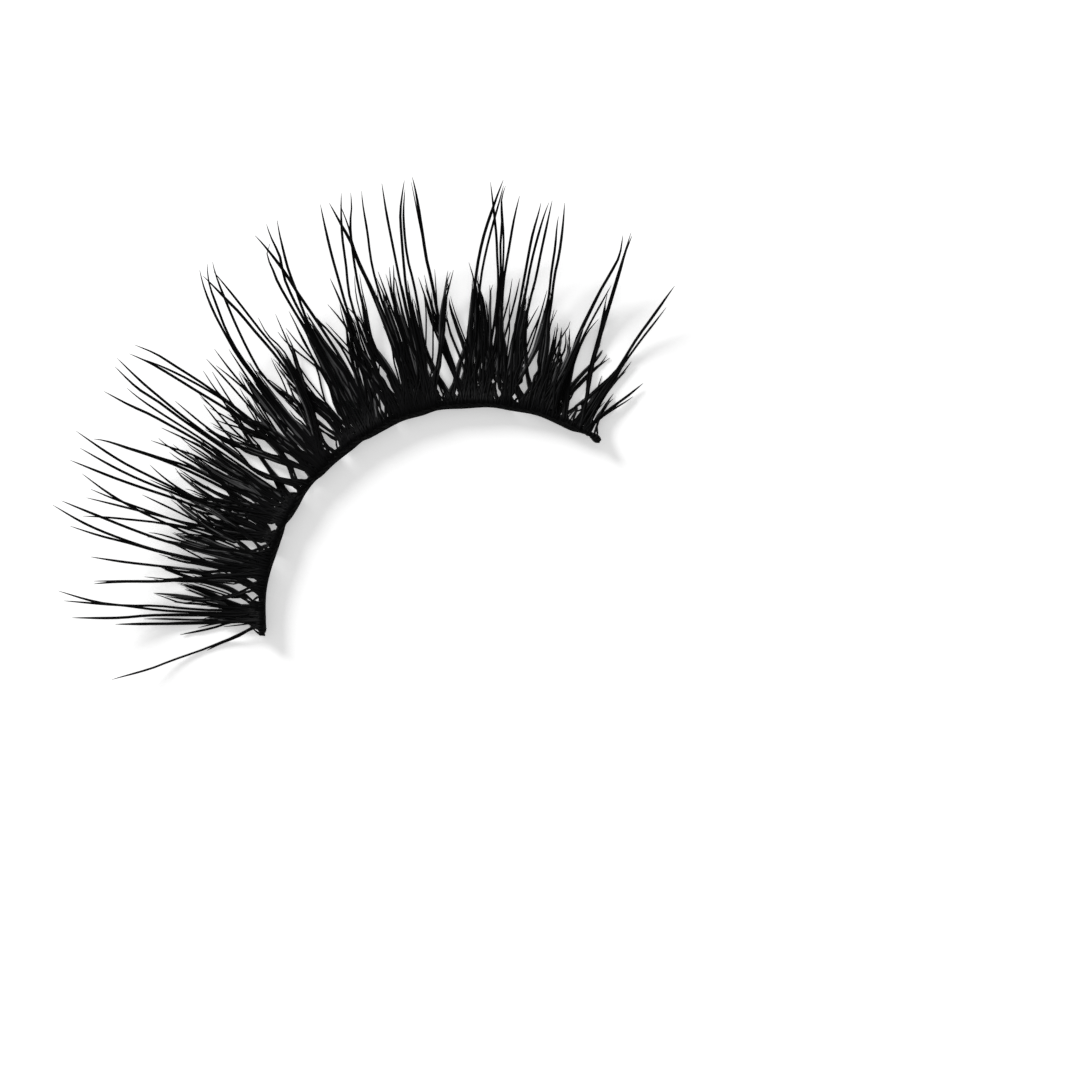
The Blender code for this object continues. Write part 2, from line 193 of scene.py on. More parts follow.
# Ribbons of short hairs. The flow gives, at each reach, the stations that the ribbon lies between,
# and its hairs end between the shortest and the longest reach
Ribbon = namedtuple("Ribbon", "tuft hairs shortest longest flow")
RIBBONS = [
    Ribbon(1, 14, 0.65, 1.05, ((0.3, 0.28, 0.9), (0.6, 0.46, 0.95), (1, 0.72, 1.05))),
    Ribbon(1, 26, 2.2, 4.4, (
        (0.3, 0.7, 2), (1, 0.8, 1.98), (2, 0.9, 2.03), (3, 0.88, 2.15), (4, 0.87, 2.1))),
    Ribbon(1, 6, 4.8, 7.8, (
        (0.3, 1.45, 1.9), (2, 1.7, 2.05), (3, 1.78, 2.2), (4, 1.88, 2.3), (5, 1.92, 2.33), (6, 1.97, 2.38),
        (7, 2.2, 2.37))),
    Ribbon(1, 8, 4.6, 6.6, (
        (0.3, 1.25, 1.7), (1, 1.5, 1.9), (2, 1.85, 2.12), (3, 2.1, 2.45), (4, 2.27, 2.75), (5, 2.5, 2.93),
        (6, 2.8, 3), (6.4, 2.9, 3.02))),
    Ribbon(2, 9, 3.8, 7.6, (
        (0.3, 1.95, 2.35), (0.6, 2.02, 2.36), (1, 2.14, 2.52), (1.5, 2.4, 2.82), (2, 2.62, 2.96),
        (2.5, 2.8, 3.08), (3, 2.93, 3.18), (4, 3.06, 3.3), (5, 3.2, 3.4), (6, 3.34, 3.52),
        (7, 3.48, 3.62))),
    Ribbon(2, 7, 3.2, 6, (
        (0.3, 3, 3.45), (0.9, 2.98, 3.28), (1.4, 2.76, 3), (2, 2.5, 2.72), (2.5, 2.38, 2.58),
        (3, 2.24, 2.46), (4, 2.05, 2.36), (5, 1.97, 2.3))),
    Ribbon(2, 11, 4.5, 8.2, (
        (0.3, 3, 3.55), (1, 3.05, 3.54), (1.5, 3.36, 3.7), (2.5, 3.3, 3.8), (3.5, 3.2, 3.8), (4, 3.1, 3.6),
        (5, 3.06, 3.38), (6, 3, 3.24), (7, 2.95, 3.1), (8, 2.86, 3))),
    Ribbon(2, 9, 4.5, 8.4, (
        (0.3, 3.8, 4.4), (1, 3.9, 4.35), (2, 3.7, 4.2), (3, 3.58, 4.05), (4, 3.45, 3.8), (5, 3.54, 3.8),
        (6, 3.5, 3.76), (7, 3.55, 3.7), (8.4, 3.58, 3.68))),
    Ribbon(2, 9, 5, 8.4, (
        (0.3, 4, 4.7), (1, 4, 4.65), (2, 4, 4.55), (3, 4, 4.38), (4, 4, 4.34), (5, 4.04, 4.28),
        (6, 4, 4.25), (7, 4.08, 4.28), (8, 4.12, 4.34))),
    Ribbon(2, 6, 2.8, 5, (
        (0.3, 3.2, 3.5), (1, 3.3, 3.54), (2, 3.55, 3.95), (3, 3.8, 4.25), (4, 4.05, 4.36), (5, 4.1, 4.3))),
    Ribbon(2, 9, 3.2, 4.7, (
        (0.3, 4.25, 4.75), (2, 4.32, 4.7), (3, 4.3, 4.66), (4, 4.34, 4.62), (4.7, 4.4, 4.56))),
    Ribbon(2, 11, 5.5, 8.9, (
        (0.3, 4.5, 5.1), (2, 4.52, 5.05), (3.7, 4.62, 5.05), (5, 4.68, 5.02), (6, 4.72, 5.06),
        (7, 4.8, 5.12), (8, 4.84, 5.14))),
    Ribbon(2, 11, 4.5, 7.2, (
        (0.3, 4.9, 5.6), (1, 4.95, 5.52), (2, 4.9, 5.42), (4, 5, 5.5), (5, 5.06, 5.6), (6, 5.08, 5.52),
        (7, 5.25, 5.5))),
    Ribbon(2, 9, 4.5, 8, (
        (0.3, 4.9, 5.4), (1, 5.15, 5.52), (1.5, 5.34, 5.55), (2.2, 5.56, 5.86), (3, 5.74, 6.05),
        (4, 5.85, 6.25), (5, 5.95, 6.55), (6, 6.22, 6.9), (8, 6.8, 7.4))),
    Ribbon(2, 7, 3, 5.5, (
        (0.3, 6, 6.38), (0.6, 5.85, 6.18), (1.05, 5.5, 5.8), (1.4, 5.28, 5.54), (2, 5.1, 5.45),
        (4, 4.9, 5.2), (5.5, 4.8, 5))),
    Ribbon(2, 6, 3.5, 6, (
        (0.3, 5.35, 5.7), (1.05, 5.8, 6.02), (1.5, 5.98, 6.2), (1.85, 6.12, 6.36), (2.5, 6.35, 6.62),
        (4, 6.6, 6.95), (6, 6.9, 7.2))),
    Ribbon(3, 8, 4.6, 7.6, (
        (0.3, 6.45, 6.9), (1, 6.3, 6.7), (2, 6.08, 6.45), (3, 5.78, 6.1), (4, 5.55, 5.85), (5, 5.36, 5.66),
        (6, 5.25, 5.52), (7, 5.18, 5.4))),
    Ribbon(3, 9, 5, 8.3, (
        (0.3, 6.6, 7.1), (1, 6.45, 7), (2, 6.2, 6.75), (3, 6.02, 6.45), (4, 5.94, 6.25), (5, 5.84, 6.12),
        (6, 5.74, 6.06), (7, 5.68, 5.94), (8, 5.62, 5.92))),
    Ribbon(3, 26, 4, 8.6, (
        (0.3, 6.42, 7.15), (1, 6.38, 7.2), (2, 6.15, 7.3), (3, 6.1, 7.25), (4, 6, 7.25), (5, 5.98, 7.3),
        (6, 6.22, 7.32), (7, 6.48, 7.36), (8, 6.8, 7.42))),
    Ribbon(3, 18, 4, 8, (
        (0.3, 7.95, 9.2), (1, 7.6, 9), (2, 7.4, 8.6), (3, 7.15, 8.25), (4, 6.95, 7.95), (5, 6.75, 7.6),
        (6, 6.66, 7.35), (7, 6.7, 7.3))),
    Ribbon(3, 11, 5, 8.8, (
        (0.3, 6.6, 7.05), (0.7, 6.8, 7.15), (1, 7, 7.36), (2, 7.25, 7.8), (3, 7.55, 8.2), (4, 7.9, 8.5),
        (5, 8.38, 8.9), (6, 8.48, 9.1), (8, 8.8, 9.4))),
    Ribbon(3, 7, 6, 8.8, (
        (0.3, 8.2, 8.8), (2, 8, 8.45), (3, 7.85, 8.2), (4, 7.75, 8.08), (4.8, 7.8, 8), (5.6, 7.86, 8),
        (6.4, 7.88, 8.02), (7, 7.92, 8.08), (7.7, 7.98, 8.16), (8.6, 8.05, 8.25))),
    Ribbon(3, 6, 6.5, 9, (
        (0.3, 6.8, 7.2), (2, 7, 7.4), (4, 7.2, 7.5), (5, 7.4, 7.62), (6, 7.58, 7.72), (6.6, 7.66, 7.8),
        (7.4, 7.78, 7.98), (8.4, 7.95, 8.2))),
    Ribbon(3, 6, 5.5, 8.2, (
        (0.3, 8.2, 8.6), (2, 7.9, 8.3), (3.5, 7.65, 7.95), (4.4, 7.6, 7.8), (5.2, 7.5, 7.66),
        (6, 7.44, 7.58), (7.5, 7.48, 7.6), (8.2, 7.55, 7.65))),
    Ribbon(3, 38, 5, 9.6, (
        (0.3, 8.1, 10.05), (1, 8, 10.02), (2, 8.2, 9.85), (3, 8.38, 9.9), (4, 8.4, 9.85), (5, 8.4, 9.78),
        (6, 8.42, 9.78), (7, 8.42, 9.92), (8, 8.45, 9.95))),
    Ribbon(3, 9, 4.5, 8.5, (
        (0.3, 9.3, 9.95), (1, 9.55, 10.08), (1.5, 9.8, 10.34), (2, 10.02, 10.5), (2.6, 10.34, 10.64),
        (3, 10.44, 10.74), (4, 10.72, 10.98), (5, 10.94, 11.22), (6, 11.2, 11.46), (7, 11.48, 11.76),
        (8, 11.7, 11.98))),
    Ribbon(4, 9, 4.5, 8.8, (
        (0.3, 10.8, 11.2), (0.7, 10.68, 11.08), (1, 10.56, 10.9), (1.5, 10.34, 10.64), (2, 10.12, 10.52),
        (2.6, 9.98, 10.3), (3, 9.94, 10.2), (4, 9.96, 10.14), (5, 10.02, 10.36), (6, 10.04, 10.46),
        (8, 10.02, 10.45))),
    Ribbon(4, 9, 4.5, 8.3, (
        (0.3, 11.95, 12.4), (0.7, 11.86, 12.2), (1, 11.8, 12.08), (1.5, 11.58, 11.92), (2, 11.36, 11.74),
        (2.5, 11.22, 11.58), (3, 11.08, 11.44), (3.5, 10.98, 11.26), (4, 10.8, 11.16), (4.5, 10.72, 10.98),
        (5, 10.66, 10.94), (6, 10.44, 10.68), (7, 10.34, 10.52), (8, 10.3, 10.46))),
    Ribbon(4, 8, 4, 7.8, (
        (0.3, 10.6, 11.05), (0.7, 10.76, 11.1), (1, 10.92, 11.22), (1.5, 11.1, 11.46), (2, 11.34, 11.72),
        (2.5, 11.42, 11.8), (3, 11.58, 11.92), (4, 11.74, 12.08), (5, 11.88, 12.2), (6, 12.16, 12.4),
        (8, 12.54, 12.7))),
    Ribbon(4, 18, 4.5, 8.6, (
        (0.3, 12.1, 12.9), (1, 12.04, 12.8), (2, 12.02, 12.7), (3, 11.72, 12.64), (4, 11.74, 12.56),
        (5, 11.5, 12.46), (6, 11.34, 12.08), (7, 11.46, 11.92), (8, 11.4, 12))),
    Ribbon(4, 28, 4.5, 9.3, (
        (0.3, 12.6, 13.9), (2, 12.3, 13.9), (3.2, 12.4, 13.96), (4, 12.58, 13.8), (5, 12.78, 13.8),
        (6, 12.9, 13.84), (7, 13.02, 13.9), (8, 13.1, 14))),
    Ribbon(4, 7, 6.5, 9, (
        (0.3, 12.1, 12.6), (3, 12, 12.4), (4, 12.14, 12.5), (5, 12.24, 12.7), (6, 12.36, 12.9),
        (7, 12.5, 13.08), (8, 12.62, 13.26))),
    Ribbon(4, 18, 5, 8.8, (
        (0.3, 13, 13.95), (1, 13.3, 14.08), (1.5, 13.42, 14.18), (2, 13.55, 14.42), (2.7, 13.7, 14.68),
        (3.5, 13.9, 15), (5, 14.04, 15.2), (6, 14.3, 15.36), (7, 14.5, 15.44), (8, 14.6, 15.5))),
    Ribbon(5, 3, 5, 8, (
        (0.3, 14.78, 14.98), (0.9, 14.72, 14.86), (1.5, 14.5, 14.6), (2, 14.38, 14.5), (3, 14.1, 14.3),
        (4, 14.02, 14.2), (5, 13.98, 14.16), (6, 13.92, 14.08), (7, 13.86, 14))),
    Ribbon(5, 4, 5, 8.5, (
        (0.3, 15, 15.2), (1, 14.9, 15.04), (1.5, 14.8, 14.95), (2, 14.66, 14.82), (2.7, 14.5, 14.7),
        (3.5, 14.4, 14.6), (5, 14.22, 14.46), (6, 14.06, 14.3), (7, 13.96, 14.16), (8, 13.88, 14.08))),
    Ribbon(5, 18, 4.5, 8.8, (
        (0.3, 15.1, 16), (1, 15.18, 15.9), (1.6, 15.18, 15.82), (2.5, 15.02, 15.78), (3, 14.92, 15.7),
        (3.5, 14.82, 15.6), (4, 14.76, 15.46), (5, 14.62, 15.22), (6, 14.52, 15.16), (7, 14.54, 15.1),
        (8, 14.62, 15.1))),
    Ribbon(5, 4, 6.5, 9.5, (
        (0.3, 14.95, 15.3), (2, 15.02, 15.3), (3.5, 15, 15.26), (5, 15.1, 15.3), (6, 15.3, 15.54),
        (7, 15.52, 15.76), (8, 15.74, 15.94), (9.2, 15.85, 16.05))),
    Ribbon(5, 46, 5, 9.6, (
        (0.3, 15.7, 17.6), (1, 15.8, 17.6), (2, 15.86, 17.7), (2.8, 15.9, 17.74), (3.5, 16.12, 17.7),
        (4.5, 16.34, 17.7), (5, 16.42, 17.62), (6, 16.54, 17.44), (7, 16.62, 17.32), (8, 16.66, 17.26))),
    Ribbon(5, 26, 5, 9, (
        (0.3, 16.9, 17.9), (1, 17.1, 18.1), (2, 17.4, 18.4), (3, 17.62, 18.65), (4, 17.82, 18.85),
        (5, 18.02, 18.95), (6, 18.2, 18.96), (7, 18.44, 19.06), (8, 18.52, 19))),
    Ribbon(6, 12, 4, 8, (
        (0.3, 19.3, 20.1), (1, 19.2, 19.9), (2, 18.95, 19.42), (2.8, 18.8, 19.34), (3.5, 18.55, 19.14),
        (4, 18.42, 19.1), (5, 18.24, 18.9), (6, 18.18, 18.72), (7, 18.4, 18.76), (8, 18.5, 18.8))),
    Ribbon(6, 14, 5, 8.8, (
        (0.3, 19.9, 20.6), (1, 19.8, 20.4), (2, 19.56, 20.1), (2.8, 19.58, 20.04), (3.5, 19.44, 19.94),
        (4, 19.32, 19.84), (5, 19.08, 19.58), (6, 19.08, 19.4), (7, 19.12, 19.48), (8, 18.94, 19.26))),
    Ribbon(6, 7, 6, 9, (
        (0.3, 18.6, 19.2), (2, 18.9, 19.35), (4, 19, 19.2), (5.5, 19.22, 19.44), (7, 19.4, 19.62),
        (8, 19.5, 19.7))),
    Ribbon(6, 18, 2.6, 5.4, (
        (0.3, 18, 19.8), (1, 18, 19.7), (2, 18.2, 19.4), (2.8, 18.3, 19.3), (4, 18.4, 19.1),
        (5, 18.5, 19))),
    Ribbon(6, 64, 5, 10, (
        (0.3, 19.7, 22.2), (1, 19.8, 22.15), (2, 19.95, 22.1), (3, 20.05, 22.15), (3.6, 20.05, 22.15),
        (4, 20.12, 22.06), (5, 20.28, 21.98), (6, 20.24, 21.92), (7, 20.18, 21.9), (8, 20.1, 21.94),
        (9.5, 20.1, 22))),
    Ribbon(6, 6, 3, 6, (
        (0.3, 22.3, 22.68), (1, 22.02, 22.36), (2, 21.72, 22.1), (3, 21.55, 21.95), (5, 21.4, 21.8))),
    Ribbon(6, 9, 5.5, 9.4, (
        (0.3, 21.2, 21.9), (1, 21.55, 22.1), (2, 22.02, 22.56), (2.7, 22.46, 22.7), (3.3, 22.62, 22.86),
        (3.8, 22.72, 22.94), (4.5, 22.82, 23.08), (5, 22.92, 23.18), (6, 23.02, 23.32), (7, 23.2, 23.44),
        (8, 23.42, 23.56), (9, 23.6, 23.74))),
    Ribbon(7, 10, 4, 9, (
        (0.3, 22.9, 23.35), (0.6, 22.76, 23.2), (1.2, 22.48, 23), (1.7, 22.4, 22.8), (2.2, 22.22, 22.6),
        (3, 22.06, 22.38), (4, 21.92, 22.14), (5, 21.84, 22.06), (8, 21.84, 22))),
    Ribbon(7, 8, 3, 6, (
        (0.3, 22.8, 23.3), (0.7, 22.95, 23.37), (1.1, 23.1, 23.52), (1.9, 23.44, 23.78),
        (2.6, 23.66, 23.95), (3.6, 24.05, 24.3), (5, 24.45, 24.75))),
    Ribbon(7, 12, 5, 8.7, (
        (0.3, 23.75, 24.3), (1.2, 23.62, 24), (1.9, 23.44, 23.8), (2.5, 23.28, 23.56), (3, 23.14, 23.46),
        (3.6, 22.98, 23.38), (4.3, 22.84, 23.26), (5, 22.76, 23.14), (5.5, 22.64, 22.94), (6, 22.58, 22.8),
        (7.5, 22.42, 22.68), (8.5, 22.34, 22.55))),
    Ribbon(7, 2, 6, 7.6, (
        (0.3, 24.3, 24.6), (2, 24.1, 24.3), (3.3, 23.88, 23.96), (4, 23.7, 23.78), (5, 23.46, 23.54),
        (6, 23.36, 23.44), (7, 23.3, 23.4))),
    Ribbon(7, 5, 6, 8.4, (
        (0.3, 24.5, 25), (2, 24.3, 24.7), (3.6, 24.12, 24.4), (4.5, 23.98, 24.2), (5.3, 23.8, 23.98),
        (6, 23.68, 23.84), (6.5, 23.58, 23.74), (7.5, 23.46, 23.6), (8.2, 23.36, 23.5))),
    Ribbon(7, 54, 5, 9, (
        (0.3, 23.85, 26.2), (1, 23.85, 26.15), (2, 23.86, 26.1), (3, 23.95, 26), (4, 24.22, 25.8),
        (5, 24.38, 25.68), (6, 24.48, 25.56), (7, 24.58, 25.4), (8, 24.66, 25.18))),
    Ribbon(7, 14, 5, 9.2, (
        (0.3, 24.8, 25.6), (1, 25, 25.86), (2, 25.3, 26.16), (3, 25.6, 26.3), (4, 25.9, 26.38),
        (5, 25.9, 26.34), (6, 25.8, 26.24), (7, 25.82, 26.18), (8, 25.82, 26.12))),
    Ribbon(7, 5, 6, 8.6, (
        (0.3, 25.1, 25.5), (3, 25.4, 25.7), (5, 25.5, 25.66), (6, 25.46, 25.6), (8, 25.46, 25.6))),
    Ribbon(8, 14, 4, 7.5, (
        (0.3, 26.68, 27.2), (1, 26.45, 27.2), (1.3, 26.22, 27), (2, 26.06, 26.9), (3, 26.06, 26.7),
        (4, 26.04, 26.6), (5, 25.98, 26.4), (7, 25.95, 26.3))),
    Ribbon(8, 32, 4.5, 8.9, (
        (0.3, 26.66, 27.4), (1, 26.64, 27.22), (2, 26.55, 27.55), (3, 26.58, 27.7), (4, 26.64, 27.6),
        (5, 26.74, 27.44), (6, 26.88, 27.38), (7, 26.96, 27.4), (8, 27, 27.44))),
    Ribbon(8, 8, 3, 6, (
        (0.3, 27.82, 28.25), (0.6, 27.78, 28.2), (1, 27.46, 28), (1.6, 27.22, 27.64), (2, 27.12, 27.66),
        (4, 26.9, 27.4))),
    Ribbon(8, 9, 4, 8, (
        (0.3, 28.2, 28.7), (1, 28.2, 28.52), (1.5, 28.22, 28.46), (2, 27.96, 28.36), (2.5, 27.84, 28.14),
        (3, 27.72, 27.98), (4, 27.52, 27.72), (5, 27.4, 27.52), (7, 27.35, 27.45))),
    Ribbon(8, 10, 5, 9, (
        (0.3, 26.8, 27.2), (1, 27.02, 27.3), (2, 27.42, 27.72), (3, 27.72, 27.98), (3.9, 27.98, 28.22),
        (5, 28.08, 28.42), (6, 28.14, 28.46), (8, 28.14, 28.38))),
    Ribbon(8, 46, 3.2, 4.8, (
        (0.3, 28.15, 30.3), (1, 28.12, 30.22), (2, 28.48, 30.15), (3, 28.62, 30.15), (3.5, 28.56, 30.35),
        (4, 28.4, 30.46), (4.6, 28.34, 30.36))),
    Ribbon(8, 16, 5, 8.3, (
        (0.3, 28.5, 29.4), (2, 28.52, 29.1), (4, 28.34, 28.94), (5, 28.24, 28.84), (6, 28.18, 28.62),
        (7, 28.14, 28.5), (8, 28.14, 28.4))),
    Ribbon(8, 9, 5, 6.6, (
        (0.3, 28.9, 30.1), (2, 29, 30), (4, 29, 30.2), (4.4, 29.05, 30.25), (6.6, 28.85, 29.65))),
    Ribbon(8, 8, 5, 7, (
        (0.3, 29.5, 30.3), (2, 29.6, 30.2), (3.5, 29.8, 30.3), (4.5, 29.86, 30.3), (5.5, 30.04, 30.26),
        (7, 30.1, 30.25))),
    Ribbon(9, 3, 3, 4.6, (
        (0.3, 30.85, 31.35), (1, 30.45, 30.8), (2, 30.2, 30.48), (2.5, 30.1, 30.34), (3, 30, 30.2),
        (4.5, 29.9, 30.1))),
    Ribbon(9, 3, 3.6, 5.4, (
        (0.3, 31.2, 31.8), (1, 31.08, 31.36), (1.6, 30.82, 31.1), (2, 30.64, 30.88), (2.5, 30.48, 30.7),
        (3, 30.4, 30.6), (3.5, 30.34, 30.52), (4.5, 30.24, 30.4), (5.5, 30.36, 30.44))),
    Ribbon(9, 4, 4.5, 6, (
        (0.3, 29.9, 30.5), (1, 30.15, 30.7), (2, 30.52, 30.9), (2.6, 30.64, 30.92), (3, 30.76, 31),
        (3.5, 30.92, 31.14), (4, 31.05, 31.26), (4.5, 31.2, 31.4), (5, 31.32, 31.48), (6, 31.52, 31.64))),
    Ribbon(9, 3, 4.5, 5.6, (
        (0.3, 30.3, 30.8), (1, 30.6, 31), (2, 30.88, 31.08), (2.6, 31, 31.18), (3.2, 31.18, 31.36),
        (3.7, 31.32, 31.48), (4.2, 31.44, 31.6), (5, 31.72, 31.86))),
    Ribbon(9, 9, 5, 9, (
        (0.3, 32.1, 32.6), (1, 32, 32.3), (1.6, 31.96, 32.12), (2, 31.8, 32), (2.5, 31.68, 31.88),
        (3, 31.54, 31.76), (3.5, 31.42, 31.62), (4, 31.3, 31.48), (5, 31.18, 31.36), (6, 31.08, 31.28),
        (7, 30.98, 31.14), (8, 30.88, 31.04))),
    Ribbon(9, 7, 4, 7, (
        (0.3, 31.1, 31.5), (1, 31.4, 31.66), (1.5, 31.54, 31.8), (2, 31.78, 31.98), (2.4, 31.92, 32.1),
        (3, 32.08, 32.3), (3.5, 32.24, 32.48), (4, 32.42, 32.6), (5, 32.62, 32.74))),
    Ribbon(9, 22, 3.5, 7, (
        (0.3, 31.95, 32.9), (1, 32.04, 32.84), (2, 32.14, 32.78), (2.5, 32.18, 32.74), (3, 32.24, 32.72),
        (4, 32.52, 32.84), (4.5, 32.62, 32.84), (5, 32.62, 32.82), (6, 32.64, 32.83), (7, 32.66, 32.82))),
    Ribbon(9, 6, 2.2, 3.5, (
        (0.3, 33.05, 33.48), (1, 33.05, 33.32), (1.4, 33.02, 33.26), (2, 33.04, 33.24), (2.5, 33.06, 33.24),
        (3.4, 33.16, 33.28))),
]

